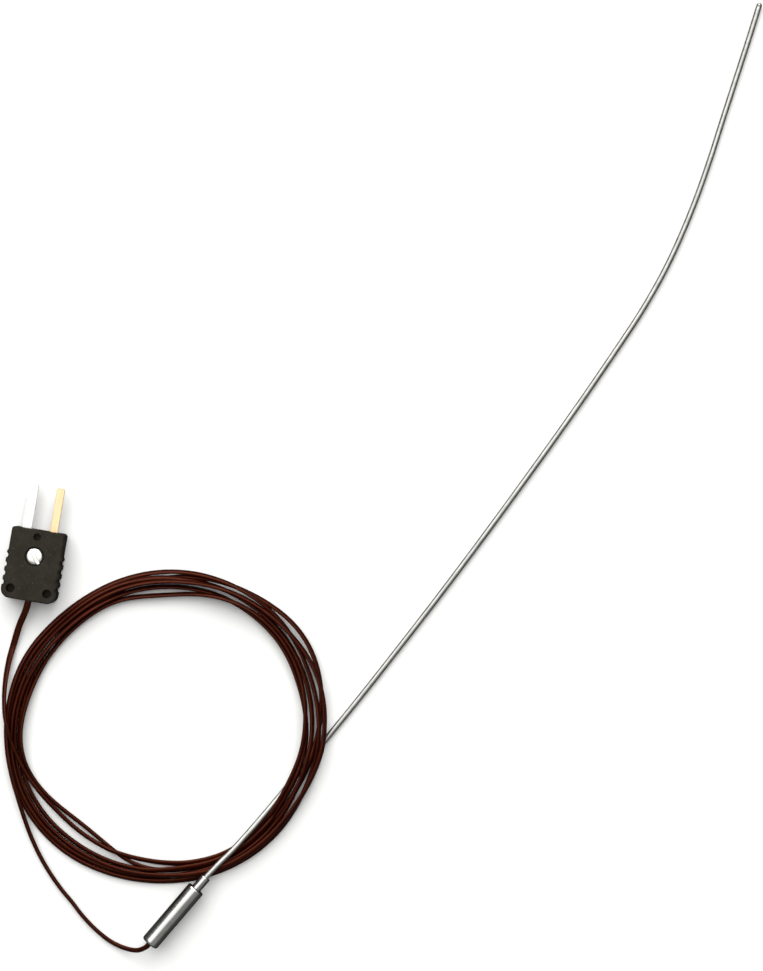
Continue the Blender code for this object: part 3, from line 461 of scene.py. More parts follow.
def lead_route():
    """The lead's centreline from the joint to the plug, with the tilt of its wide side."""
    count = round((COIL_END - COIL_START) / SAMPLE_ANGLE) + 1
    angle = COIL_START + SAMPLE_ANGLE * np.arange(count)
    radius, height = settle(angle)
    x = COIL_CENTRE[0] + radius * np.cos(np.radians(angle))
    y = COIL_CENTRE[1] + radius * np.sin(np.radians(angle))
    coil = [Vector(point) for point in zip(x, y, height)][::-1]
    into_joint = [joint_point(JACKET_INTO_JOINT), joint_point(LEAD_STRAIGHT), joint_point(-LEAD_STRAIGHT)]
    into_plug = [plug_point(0.0, -PLUG_HALF_LENGTH - LEAD_STRAIGHT, CORD_HEIGHT),
                 plug_point(0.0, CORD_END, CORD_HEIGHT)]
    joint_tail = [Vector(point) for point in JOINT_TAIL_ROUTE]
    plug_tail = [Vector(point) for point in PLUG_TAIL_ROUTE]
    route = into_joint + joint_tail + coil + plug_tail + into_plug
    tilts = ([JOINT_END_TILT] * len(into_joint)
             + list(np.linspace(JOINT_END_TILT, JOINT_TAIL_TILT, len(joint_tail)))
             + list(np.degrees(coil_tilt(angle[::-1])))
             + [PLUG_TAIL_TILT] * len(plug_tail) + [PLUG_END_TILT] * len(into_plug))
    path = smooth_path(route, PATH_SPACING)
    reach = np.concatenate([[0.0], np.cumsum(np.linalg.norm(np.diff(np.array(route), axis=0), axis=1))])
    tilt = np.interp(np.linspace(0.0, 1.0, len(path)), reach / reach[-1], tilts)
    return path, np.radians(smoothed(tilt, TILT_SMOOTHING))


# ---------------- mesh helpers

def add_piece(name, mesh, slot, body, replaced, place=None):
    """Links a finished mesh as a piece of the object, in the finish that its slot names."""
    mesh.name = name
    mesh.materials.clear()
    mesh.materials.append(FINISHES[slot])
    piece = bpy.data.objects.new(name, mesh)
    if place is not None:
        piece.matrix_world = place
    bpy.context.scene.collection.objects.link(piece)
    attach(piece, body)
    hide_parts(*replaced)
    return piece


def ring_mesh(name, rings):
    """A closed skin over a row of rings of points, all with the same count."""
    count = len(rings[0])
    points = [tuple(point) for ring in rings for point in ring]
    faces = []
    for row in range(len(rings) - 1):
        for column in range(count):
            following = (column + 1) % count
            faces.append((row * count + column, row * count + following,
                          (row + 1) * count + following, (row + 1) * count + column))
    faces.append(tuple(reversed(range(count))))
    faces.append(tuple((len(rings) - 1) * count + column for column in range(count)))
    mesh = bpy.data.meshes.new(name)
    mesh.from_pydata(points, [], faces)
    mesh.validate()
    mesh.shade_smooth()
    return mesh


def lead_section():
    """The two-core jacket's outline: an oval with a shallow waist where the cores touch."""
    outline = []
    for step in range(LEAD_SIDES):
        angle = 2.0 * math.pi * step / LEAD_SIDES
        wide = LEAD_WIDE * math.cos(angle)
        waist = WAIST_DEPTH * math.exp(-(wide / WAIST_REACH) ** 2)
        narrow = LEAD_NARROW * math.sin(angle) * (1.0 - waist)
        outline.append((wide, narrow))
    return outline


def across_path(path):
    """Unit vectors across a path at each of its points, one level and one square to it."""
    direction = np.gradient(path, axis=0)
    direction /= np.linalg.norm(direction, axis=1)[:, None]
    side = np.cross(direction, (0.0, 0.0, 1.0))
    side /= np.linalg.norm(side, axis=1)[:, None]
    return side, np.cross(side, direction)


def lead_mesh(path, tilt):
    """The lead's jacket, its section tilted as it runs along the path."""
    side, top = across_path(path)
    wide = top * np.cos(tilt)[:, None] + side * np.sin(tilt)[:, None]
    narrow = side * np.cos(tilt)[:, None] - top * np.sin(tilt)[:, None]
    outline = lead_section()
    rings = []
    for middle, first, second in zip(path, wide, narrow):
        rings.append([(middle + first * x + second * y) * MM for x, y in outline])
    return ring_mesh("lead", rings)


# ---------------- materials

class Finish:
    """A node material built round one Principled shader."""

    def __init__(self, name, colour, roughness, metallic=0.0):
        self.material = bpy.data.materials.new(name)
        self.material.use_nodes = True
        self.nodes = self.material.node_tree.nodes
        self.links = self.material.node_tree.links
        self.shader = self.nodes["Principled BSDF"]
        set_inputs(self.shader, {"Roughness": roughness, "Metallic": metallic, "Base Color": (*colour, 1.0)})
        self.place = self.nodes.new("ShaderNodeTexCoord").outputs["Object"]
        self.bump = None

    def stretched(self, scale, turn=0.0):
        """Object coordinates scaled per axis, after a turn about Z in degrees."""
        mapping = self.nodes.new("ShaderNodeMapping")
        mapping.vector_type = "POINT"
        set_inputs(mapping, {"Rotation": (0.0, 0.0, math.radians(turn)), "Scale": scale})
        self.links.new(self.place, mapping.inputs["Vector"])
        return mapping.outputs["Vector"]

    def noise(self, scale, detail, place=None):
        """A noise from 0 to 1, at the piece's own coordinates or at stretched ones."""
        noise = self.nodes.new("ShaderNodeTexNoise")
        set_inputs(noise, {"Scale": scale, "Detail": detail, "Roughness": 0.55})
        self.links.new(self.place if place is None else place, noise.inputs["Vector"])
        return noise.outputs["Fac"]

    def ramp(self, source, low, high, first, second):
        """A blend from the first colour to the second as the source goes from low to high."""
        ramp = self.nodes.new("ShaderNodeValToRGB")
        for element, level, colour in zip(ramp.color_ramp.elements, (low, high), (first, second)):
            element.position = level
            element.color = (*colour, 1.0)
        self.links.new(source, ramp.inputs["Fac"])
        return ramp.outputs["Color"]

    def vary_colour(self, source, low, high, first, second):
        """A base colour that blends as the ramp does."""
        self.links.new(self.ramp(source, low, high, first, second), self.shader.inputs["Base Color"])

    def vary_roughness(self, source, low, high):
        """Roughness that follows the middle of a noise."""
        spread = self.nodes.new("ShaderNodeMapRange")
        set_inputs(spread, {"From Min": 0.3, "From Max": 0.7, "To Min": low, "To Max": high})
        self.links.new(source, spread.inputs["Value"])
        self.links.new(spread.outputs["Result"], self.shader.inputs["Roughness"])

    def add_bump(self, source, depth):
        """Relief of a depth in millimetres, on top of any that is there already."""
        bump = self.nodes.new("ShaderNodeBump")
        set_inputs(bump, {"Distance": depth * MM, "Strength": 1.0})
        self.links.new(source, bump.inputs["Height"])
        if self.bump is not None:
            self.links.new(self.bump, bump.inputs["Normal"])
        self.bump = bump.outputs["Normal"]
        self.links.new(self.bump, self.shader.inputs["Normal"])


def tinted(colour, factor):
    """A colour made lighter or darker."""
    return tuple(min(1.0, channel * factor) for channel in colour)


def cloud_colour(finish, scale, detail, colour, spread):
    """Lets a finish's colour drift lighter and darker by the spread."""
    clouds = finish.noise(scale, detail)
    finish.vary_colour(clouds, 0.35, 0.65, tinted(colour, 1.0 - spread), tinted(colour, 1.0 + spread))


def metal_finish(name, colour, roughness, stretch=(1.0, 1.0, 1.0), turn=0.0, grain=900.0, depth=0.002,
                 edge=0.55, spread=0.09):
    """Metal with fine drawn or turned lines, slight cloudiness and uneven polish."""
    finish = Finish(name, colour, roughness, 1.0)
    lines = finish.noise(grain, 3.0, finish.stretched(stretch, turn))
    cloud_colour(finish, 260.0, 5.0, colour, spread)
    finish.vary_roughness(lines, roughness * 0.75, roughness * 1.35)
    finish.add_bump(lines, depth)
    set_inputs(finish.shader, {"Specular Tint": (edge, edge, edge, 1.0)})
    return finish.material


def plain_finish(name, colour, roughness, grain=700.0, depth=0.01, spread=0.18):
    """Plastic, resin or powder with a fine grain and slight mottling."""
    finish = Finish(name, colour, roughness)
    grains = finish.noise(grain * 4.0, 3.0)
    cloud_colour(finish, grain, 4.0, colour, spread)
    finish.vary_roughness(grains, roughness * 0.85, min(1.0, roughness * 1.15))
    finish.add_bump(grains, depth)
    return finish.material


def jacket_finish():
    """Glossy dark brown fluoropolymer, with a red-brown sheen and faint clouds in the colour."""
    finish = Finish("brown_jacket", (0.020, 0.0025, 0.0010), 0.33)
    clouds = finish.noise(420.0, 4.0)
    finish.vary_colour(clouds, 0.3, 0.7, (0.014, 0.0016, 0.0006), (0.029, 0.0038, 0.0015))
    finish.vary_roughness(finish.noise(900.0, 2.0), 0.27, 0.42)
    finish.add_bump(finish.noise(1400.0, 3.0), 0.006)
    set_inputs(finish.shader, {"Specular IOR Level": 0.42, "Specular Tint": (1.0, 0.30, 0.17, 1.0)})
    return finish.material


def moulded_finish():
    """Black glass-filled nylon: grey fibre specks, flow clouds and a fine spark-eroded skin."""
    finish = Finish("moulded_black", (0.021, 0.0165, 0.0095), 0.5)
    clouds = finish.noise(300.0, 5.0)
    base = finish.ramp(clouds, 0.3, 0.7, (0.0140, 0.0117, 0.0076), (0.0248, 0.0210, 0.0140))
    fibres = finish.noise(2600.0, 2.0, finish.stretched((1.0, 0.35, 1.0)))
    specks = finish.ramp(fibres, 0.62, 0.72, (0.0, 0.0, 0.0), (1.0, 1.0, 1.0))
    mix = finish.nodes.new("ShaderNodeMix")
    mix.data_type = "RGBA"
    set_inputs(mix, {"B": (0.042, 0.038, 0.031, 1.0)})
    finish.links.new(specks, mix.inputs["Factor"])
    finish.links.new(base, mix.inputs["A"])
    finish.links.new(mix.outputs["Result"], finish.shader.inputs["Base Color"])
    finish.vary_roughness(finish.noise(1500.0, 3.0), 0.42, 0.60)
    finish.add_bump(finish.noise(3200.0, 3.0), 0.016)
    finish.add_bump(finish.noise(500.0, 2.0), 0.02)
    set_inputs(finish.shader, {"Specular IOR Level": 0.13})
    return finish.material


def make_finishes():
    """Every finish, under the name of the material slot that wears it."""
    along_x = (0.06, 1.0, 1.0)
    round_x = (1.0, 0.02, 0.02)
    along_y = (1.0, 0.05, 1.0)
    return {
        "sheath_steel": metal_finish("drawn_steel", (0.475, 0.47, 0.45), 0.42, stretch=along_x, turn=-8.0,
                                     grain=2600.0, depth=0.0015),
        "joint_steel": metal_finish("turned_steel", (0.56, 0.555, 0.535), 0.17, stretch=round_x,
                                    grain=3200.0, depth=0.0012),
        "weld_steel": metal_finish("weld_bead", (0.47, 0.45, 0.42), 0.36, grain=1500.0, depth=0.01),
        "magnesia": plain_finish("packed_magnesia", (0.80, 0.80, 0.77), 0.95, depth=0.02, spread=0.05),
        "iron": metal_finish("iron_wire", (0.44, 0.43, 0.42), 0.38),
        "constantan": metal_finish("constantan_wire", (0.62, 0.55, 0.46), 0.33),
        "crimp": metal_finish("crimp_barrel", (0.66, 0.64, 0.60), 0.30),
        "potting": plain_finish("dark_epoxy", (0.020, 0.016, 0.013), 0.35, grain=400.0, depth=0.03),
        "white_insulation": plain_finish("white_sleeving", (0.78, 0.77, 0.72), 0.38, spread=0.05),
        "red_insulation": plain_finish("red_sleeving", (0.42, 0.030, 0.022), 0.38, spread=0.08),
        "lead_jacket": jacket_finish(),
        "plug_plastic": moulded_finish(),
        "gold_plate": metal_finish("pale_gold_blade", (0.83, 0.595, 0.355), 0.30, stretch=along_y,
                                   grain=2200.0, spread=0.03),
        "nickel_plate": metal_finish("nickel_blade", (0.80, 0.79, 0.77), 0.27, stretch=along_y,
                                     grain=2200.0, edge=0.9, spread=0.03),
        "bright_steel": metal_finish("plated_screw", (0.90, 0.89, 0.85), 0.28, grain=1600.0, edge=0.9),
        "spring_steel": metal_finish("spring_steel", (0.33, 0.33, 0.34), 0.35),
    }


# ---------------- plug, in its own frame

PLUG_PLACE = (Matrix.Translation(PLUG_CENTRE * MM)
              @ Matrix.Rotation(math.radians(PLUG_HEADING - 90.0), 4, "Z"))
UPPER_HALF_WIDTH = 7.7
GRIP_HALF_WIDTH = 8.0
BLADE_CORNER = 0.8
CORD_CORNER = 2.6
GRIP_TOP = 3.0
GRIP_SLOPE = 0.6
GRIP_NOTCHES = (1.8, -0.8, -3.4, -6.0)
NOTCH_RADIUS = 0.85
NOTCH_CENTRE = 8.35
BASE_TOP = 4.0
BASE_EDGES = (0.05, 0.35)
COVER_BOTTOM = 4.1
COVER_TOP = 8.0
COVER_EDGES = (0.32, 0.06)
# How far a cutter reaches past the face that it cuts
PAST = 0.5
LEVEL_TOLERANCE = 0.0001

BLADE_PITCH = 7.9
BLADE_REACH = 12.8
BLADE_BOTTOM = 3.6
BLADE_TOP = 4.4
BLADE_ROOM = 0.1
BLADE_TIP_CORNER = 0.7
BLADE_EDGE = 0.14
POSITIVE_WIDTH = 2.35
NEGATIVE_WIDTH = 2.9
TAB_X = 4.5
TAB_Y = -2.4
TAB_HALF = 2.0
TAB_HOLE_RADIUS = 1.05

CORD_CHANNEL_RADIUS = 1.25
CORD_CHANNEL_START = -11.0
CORD_CHANNEL_END = -8.2
WIRE_ROOM_HALF_WIDTH = 3.2
WIRE_ROOM_START = -8.6
WIRE_ROOM_END_IN_BASE = -4.9
WIRE_ROOM_END_IN_COVER = -4.7
WIRE_ROOM_BOTTOM = 2.9
WIRE_ROOM_TOP = 5.6
CORE_ROOM_HALF_WIDTH = 2.5
CORE_ROOM_START = -4.9
CORE_ROOM_END = -2.6
CORE_ROOM_TOP = 5.55
WELL_HALF_WIDTH = 2.3
WELL_BACK = 2.4
WELL_TOP = 7.15

SCREW_PLACE = (0.0, 2.6)
SCREW_SLOT_TURN = -52.0
TERMINAL_SLOT_TURN = 24.0
SCREW_HOLE_RADIUS = 1.5
COUNTERBORE_RADIUS = 2.75
COUNTERBORE_BOTTOM = 6.8
COUNTERBORE_FLARE = 0.16
RETAINER_ROOM_RADIUS = 2.15
RETAINER_ROOM_TOP = 6.1
NUT_POCKET_RADIUS = 3.06
NUT_POCKET_TOP = 1.8
TERMINAL_HOLE_RADIUS = 1.25
TERMINAL_HOLE_BOTTOM = 1.5
CLAMP_HOLE_RADIUS = 1.25
CLAMP_HOLE_BOTTOM = 5.0
CLAMP_HOLE_FLARE = 0.10
CLAMP_HOLE_X = 5.3
CLAMP_HOLE_Y = -7.4
RECESS_RADIUS = 1.05
RECESS_BOTTOM = 5.8
RECESS_FLARE = 0.08
RECESS_PLACE = (-0.1, 8.25)

# The screws' half sections from the top down, as radius and height above the table
COVER_SCREW_SECTION = [(0.0, 7.93), (0.8, 7.92), (1.5, 7.88), (1.95, 7.82), (2.2, 7.72), (2.34, 7.58),
                       (2.4, 7.4), (2.4, 6.98), (2.32, 6.9), (1.25, 6.9), (1.25, 0.5), (1.05, 0.3),
                       (0.0, 0.3)]
TERMINAL_SCREW_SECTION = [(0.0, 6.2), (1.2, 6.18), (1.55, 6.1), (1.8, 5.85), (1.8, 5.42), (1.74, 5.35),
                          (0.95, 5.35), (0.95, 2.15), (0.8, 2.0), (0.0, 2.0)]
SLOT_REACH = 4.0
SLOT_BREAK = 0.22


def arc(centre, radius, start, end, steps):
    """Points on an arc between two angles in degrees."""
    return [(centre[0] + radius * math.cos(math.radians(start + (end - start) * step / steps)),
             centre[1] + radius * math.sin(math.radians(start + (end - start) * step / steps)))
            for step in range(steps + 1)]


def plug_outline():
    """The plug seen from above: round corners, a step to the wider grip and four notches each side."""
    corner = (UPPER_HALF_WIDTH - BLADE_CORNER, PLUG_HALF_LENGTH - BLADE_CORNER)
    right = arc(corner, BLADE_CORNER, 90, 0, 6)
    right += [(UPPER_HALF_WIDTH, GRIP_TOP + GRIP_SLOPE), (GRIP_HALF_WIDTH, GRIP_TOP)]
    dip = math.degrees(math.acos((NOTCH_CENTRE - GRIP_HALF_WIDTH) / NOTCH_RADIUS))
    for notch in GRIP_NOTCHES:
        right += arc((NOTCH_CENTRE, notch), NOTCH_RADIUS, 180 - dip, 180 + dip, 8)
    corner = (GRIP_HALF_WIDTH - CORD_CORNER, CORD_CORNER - PLUG_HALF_LENGTH)
    right += arc(corner, CORD_CORNER, 0, -90, 10)
    return right + [(-x, y) for x, y in reversed(right)]


def plate(outline, bottom, top, top_edge, bottom_edge):
    """A flat solid from an outline, with rounded rims."""
    shape = bmesh.new()
    outline = [point for point, before in zip(outline, outline[-1:] + outline[:-1]) if point != before]
    lower = [shape.verts.new((x * MM, y * MM, bottom * MM)) for x, y in outline]
    face = shape.faces.new(lower)
    made = bmesh.ops.extrude_face_region(shape, geom=[face])
    upper = [item for item in made["geom"] if isinstance(item, bmesh.types.BMVert)]
    bmesh.ops.translate(shape, vec=(0.0, 0.0, (top - bottom) * MM), verts=upper)
    bmesh.ops.recalc_face_normals(shape, faces=shape.faces)
    for level, width in ((top, top_edge), (bottom, bottom_edge)):
        rim = [edge for edge in shape.edges
               if all(abs(vertex.co.z - level * MM) < LEVEL_TOLERANCE * MM for vertex in edge.verts)]
        bmesh.ops.bevel(shape, geom=rim, offset=width * MM, segments=3, affect="EDGES", clamp_overlap=True)
    return mesh_from("plate", shape)


def mesh_from(name, shape):
    """The finished mesh of a shape under construction."""
    mesh = bpy.data.meshes.new(name)
    shape.to_mesh(mesh)
    shape.free()
    return mesh


def lathe(profile, centre=(0.0, 0.0), sides=48, along_x=False):
    """A turned solid about Z, or about X; the profile runs round its section as (radius, height)."""
    rings = []
    shape = bmesh.new()
    for radius, height in profile:
        ring = []
        for step in range(sides if radius > 0.0 else 1):
            angle = 2.0 * math.pi * step / sides
            x = radius * math.cos(angle)
            y = radius * math.sin(angle)
            point = Vector((height, x, y)) if along_x else Vector((centre[0] + x, centre[1] + y, height))
            ring.append(shape.verts.new(point * MM))
        rings.append(ring)
    pairs = list(zip(rings, rings[1:]))
    if profile[0][0] > 0.0:
        pairs.append((rings[-1], rings[0]))
    for first, second in pairs:
        for step in range(sides):
            following = (step + 1) % sides
            if len(first) == 1:
                shape.faces.new((first[0], second[step], second[following]))
            elif len(second) == 1:
                shape.faces.new((first[step], second[0], first[following]))
            else:
                shape.faces.new((first[step], second[step], second[following], first[following]))
    bmesh.ops.recalc_face_normals(shape, faces=shape.faces)
    return mesh_from("turned", shape)


def rod(radius, bottom, top, centre, sides=48):
    """A plain upright cylinder."""
    return lathe([(0.0, bottom), (radius, bottom), (radius, top), (0.0, top)], centre, sides)


def flared_bore(radius, bottom, flare, centre, sides):
    """A cutter for a hole in the cover's top, widening at its mouth by the flare."""
    profile = [(0.0, bottom), (radius, bottom), (radius, COVER_TOP - flare), (radius + flare, COVER_TOP),
               (radius + flare, COVER_TOP + PAST), (0.0, COVER_TOP + PAST)]
    return lathe(profile, centre, sides)


def box(low, high):
    """A cutter block between two corners."""
    shape = bmesh.new()
    bmesh.ops.create_cube(shape, size=1.0)
    size = Vector(high) - Vector(low)
    bmesh.ops.scale(shape, vec=size * MM, verts=shape.verts)
    bmesh.ops.translate(shape, vec=(Vector(low) + Vector(high)) / 2.0 * MM, verts=shape.verts)
    return mesh_from("box", shape)


def cord_channel():
    """A round cutter along the plug's length, where the lead comes in."""
    profile = [(0.0, CORD_CHANNEL_START), (CORD_CHANNEL_RADIUS, CORD_CHANNEL_START),
               (CORD_CHANNEL_RADIUS, CORD_CHANNEL_END), (0.0, CORD_CHANNEL_END)]
    mesh = lathe(profile, sides=32, along_x=True)
    lift = Matrix.Translation((0.0, 0.0, CORD_HEIGHT * MM))
    mesh.transform(lift @ Matrix.Rotation(math.radians(90.0), 4, "Z"))
    return mesh


def carve(mesh, cutters):
    """Cuts shapes out of a mesh and gives the finished mesh."""
    scene_objects = bpy.context.scene.collection.objects
    blank = bpy.data.objects.new("blank", mesh)
    scene_objects.link(blank)
    tools = []
    for cutter in cutters:
        tool = bpy.data.objects.new("cutter", cutter)
        scene_objects.link(tool)
        modifier = blank.modifiers.new("cut", "BOOLEAN")
        modifier.operation = "DIFFERENCE"
        modifier.solver = "EXACT"
        modifier.object = tool
        tools.append(tool)
    bpy.context.view_layer.update()
    result = bpy.data.meshes.new_from_object(blank.evaluated_get(bpy.context.evaluated_depsgraph_get()))
    for item in [blank] + tools:
        bpy.data.objects.remove(item, do_unlink=True)
    return result


def soften(mesh, angle=32.0):
    """Smooth shading that keeps every edge sharper than the angle."""
    mesh.shade_smooth()
    mesh.set_sharp_from_angle(angle=math.radians(angle))
    return mesh


def add_plug_piece(name, mesh, slot, body, replaced):
    """A piece made in the plug's own frame."""
    return add_piece(name, soften(mesh), slot, body, replaced, PLUG_PLACE)


def blade_slots(bottom, top):
    """Cutters for the two slots that hold the blades."""
    return [box((side * BLADE_PITCH / 2.0 - width / 2.0 - BLADE_ROOM, TAB_Y + TAB_HALF - PAST, bottom),
                (side * BLADE_PITCH / 2.0 + width / 2.0 + BLADE_ROOM, PLUG_HALF_LENGTH + PAST, top))
            for side, width in ((1, POSITIVE_WIDTH), (-1, NEGATIVE_WIDTH))]


def make_plug_base():
    """The base with its screw hole, nut pocket, wire room, cord channel and blade and tab pockets."""
    above = BASE_TOP + PAST
    pocket_floor = BLADE_BOTTOM - BLADE_ROOM
    reach = TAB_HALF + BLADE_ROOM
    cutters = [rod(SCREW_HOLE_RADIUS, -PAST, above, SCREW_PLACE),
               rod(NUT_POCKET_RADIUS, -PAST, NUT_POCKET_TOP, SCREW_PLACE, 6),
               box((-WIRE_ROOM_HALF_WIDTH, WIRE_ROOM_START, WIRE_ROOM_BOTTOM),
                   (WIRE_ROOM_HALF_WIDTH, WIRE_ROOM_END_IN_BASE, above)),
               cord_channel()]
    cutters += blade_slots(pocket_floor, above)
    for tab in (TAB_X, -TAB_X):
        cutters.append(box((tab - reach, TAB_Y - reach, pocket_floor), (tab + reach, TAB_Y + reach, above)))
        cutters.append(rod(TERMINAL_HOLE_RADIUS, TERMINAL_HOLE_BOTTOM, above, (tab, TAB_Y), 24))
    blank = plate(plug_outline(), 0.0, BASE_TOP, *BASE_EDGES)
    return add_plug_piece("base_moulding", carve(blank, cutters), "plug_plastic", ROOT, ["plug_base"])


def make_plug_cover():
    """The cover with its stepped screw hole, rooms for the wires and screws, and the marks on its top."""
    below = COVER_BOTTOM - PAST
    above = COVER_TOP + PAST
    mouth_bottom = COVER_TOP - COUNTERBORE_FLARE
    mouth_radius = COUNTERBORE_RADIUS + COUNTERBORE_FLARE
    screw_hole = [(0.0, below), (RETAINER_ROOM_RADIUS, below), (RETAINER_ROOM_RADIUS, RETAINER_ROOM_TOP),
                  (SCREW_HOLE_RADIUS, RETAINER_ROOM_TOP), (SCREW_HOLE_RADIUS, COUNTERBORE_BOTTOM),
                  (COUNTERBORE_RADIUS, COUNTERBORE_BOTTOM), (COUNTERBORE_RADIUS, mouth_bottom),
                  (mouth_radius, COVER_TOP), (mouth_radius, above), (0.0, above)]
    cutters = [lathe(screw_hole, SCREW_PLACE, 64),
               box((-CORE_ROOM_HALF_WIDTH, CORE_ROOM_START, below),
                   (CORE_ROOM_HALF_WIDTH, CORE_ROOM_END, CORE_ROOM_TOP)),
               box((-WIRE_ROOM_HALF_WIDTH, WIRE_ROOM_START, below),
                   (WIRE_ROOM_HALF_WIDTH, WIRE_ROOM_END_IN_COVER, WIRE_ROOM_TOP)),
               cord_channel(),
               flared_bore(RECESS_RADIUS, RECESS_BOTTOM, RECESS_FLARE, RECESS_PLACE, 32)]
    cutters += blade_slots(below, BLADE_TOP + BLADE_ROOM)
    for side in (1, -1):
        tab = side * TAB_X
        cutters.append(box((tab - WELL_HALF_WIDTH, TAB_Y - WELL_BACK, below),
                           (tab + WELL_HALF_WIDTH, TAB_Y + WELL_HALF_WIDTH, WELL_TOP)))
        clamp_hole = (side * CLAMP_HOLE_X, CLAMP_HOLE_Y)
        cutters.append(flared_bore(CLAMP_HOLE_RADIUS, CLAMP_HOLE_BOTTOM, CLAMP_HOLE_FLARE, clamp_hole, 40))
    mesh = carve(plate(plug_outline(), COVER_BOTTOM, COVER_TOP, *COVER_EDGES), cutters)
    return add_plug_piece("cover_moulding", mesh, "plug_plastic", "plug_cover", ["plug_cover"])


def make_blade(side, name, width, slot):
    """A flat blade with a rounded tip, softened edges and its terminal tab."""
    middle = side * BLADE_PITCH / 2.0
    half = width / 2.0
    rounding_x = half - BLADE_TIP_CORNER
    rounding_y = PLUG_HALF_LENGTH + BLADE_REACH - BLADE_TIP_CORNER
    right = arc((middle + rounding_x, rounding_y), BLADE_TIP_CORNER, 90, 0, 8)
    left = arc((middle - rounding_x, rounding_y), BLADE_TIP_CORNER, 180, 90, 8)
    tab = side * TAB_X
    front, back = TAB_Y + TAB_HALF, TAB_Y - TAB_HALF
    outline = right + [(middle + half, front), (tab + TAB_HALF, front), (tab + TAB_HALF, back),
                       (tab - TAB_HALF, back), (tab - TAB_HALF, front), (middle - half, front)] + left
    blank = plate(outline, BLADE_BOTTOM, BLADE_TOP, BLADE_EDGE, BLADE_EDGE)
    hole = rod(TAB_HOLE_RADIUS, BLADE_BOTTOM - PAST, BLADE_TOP + PAST, (tab, TAB_Y), 32)
    return add_plug_piece(name + "_contact", carve(blank, [hole]), slot, ROOT, [name + "_blade"])


def slot_cutter(half_width, floor, break_height, top, turn, middle):
    """A screwdriver slot along X with broken edges, turned about a vertical line."""
    mouth = half_width + SLOT_BREAK
    above = top + 2.0 * PAST
    section = [(-half_width, floor), (half_width, floor), (half_width, break_height), (mouth, top),
               (mouth, above), (-mouth, above), (-mouth, top), (-half_width, break_height)]
    shape = bmesh.new()
    near, far = ([shape.verts.new((x * MM, y * MM, z * MM)) for y, z in section]
                 for x in (-SLOT_REACH, SLOT_REACH))
    for step in range(len(section)):
        following = (step + 1) % len(section)
        shape.faces.new((near[step], near[following], far[following], far[step]))
    shape.faces.new(near)
    shape.faces.new(far)
    bmesh.ops.recalc_face_normals(shape, faces=shape.faces)
    move = Matrix.Translation((middle[0] * MM, middle[1] * MM, 0.0))
    place = move @ Matrix.Rotation(math.radians(turn), 4, "Z")
    bmesh.ops.transform(shape, matrix=place, verts=shape.verts)
    return mesh_from("slot", shape)


def make_cover_screw():
    """A slotted cheese-head screw with a slightly crowned top and a plain shank."""
    slot = slot_cutter(half_width=0.38, floor=7.2, break_height=7.72, top=7.95,
                       turn=SCREW_SLOT_TURN, middle=SCREW_PLACE)
    mesh = carve(lathe(COVER_SCREW_SECTION, SCREW_PLACE, 64), [slot])
    return add_plug_piece("slotted_screw", mesh, "bright_steel", "cover_screw", ["cover_screw"])


def make_terminal_screw(side, name):
    """A slotted screw that clamps one strand on its blade's tab."""
    place = (side * TAB_X, TAB_Y)
    slot = slot_cutter(half_width=0.25, floor=5.75, break_height=6.1, top=6.2,
                       turn=side * TERMINAL_SLOT_TURN, middle=place)
    mesh = carve(lathe(TERMINAL_SCREW_SECTION, place, 40), [slot])
    return add_plug_piece(name + "_clamp_screw", mesh, "bright_steel", name + "_terminal_screw",
                          ["terminal_screw_" + name])


# ---------------- probe and joint

SHEATH_SPACING = 1.6
WELD_START = 0.05
WELD_HEIGHT = 0.9 * SHEATH_RADIUS
WELD_STUB_RADIUS = 0.49
WELD_STUB_LENGTH = 0.5
WELD_BACK = 0.02
WELD_STUB_START = 0.03
# The ends of the sleeve and the collar, as steps from the full radius and distances from the end; the
# first and last points at the full radius keep the long sides' shading straight
ROLLED_END = [(0.0, 1.1), (0.0, 0.75), (-0.04, 0.45), (-0.14, 0.2), (-0.27, 0.05), (-0.36, 0.0)]
SLEEVE_CUT_END = [(-0.26, 0.0), (-0.06, 0.07), (0.0, 0.26), (0.0, 0.5)]
COLLAR_CUT_END = [(-0.22, 0.0), (-0.05, 0.07), (0.0, 0.24), (0.0, 0.45)]
COLLAR_FOOT = [(0.0, 0.3), (0.0, 0.12), (0.12, 0.0)]
POTTING_LIP = 0.08
SHOULDER_INSET = 0.1
BUSH_GAP = 0.02
SHEATH_ROOM = 0.06


def tube_rings(path, radius, sides):
    """Round sections along a path."""
    side, top = across_path(path)
    angles = 2.0 * math.pi * np.arange(sides) / sides
    return [[(middle + radius * (across * math.cos(angle) + up * math.sin(angle))) * MM for angle in angles]
            for middle, across, up in zip(path, side, top)]


def make_sheath():
    """The drawn sheath, from inside the joint to its welded tip."""
    path = smooth_path([joint_point(SHEATH_START)] + PROBE_ROUTE, SHEATH_SPACING)
    mesh = ring_mesh("sheath_tube", tube_rings(path, SHEATH_RADIUS, 24))
    return add_piece("sheath_tube", mesh, "sheath_steel", ROOT, ["probe_sheath"])


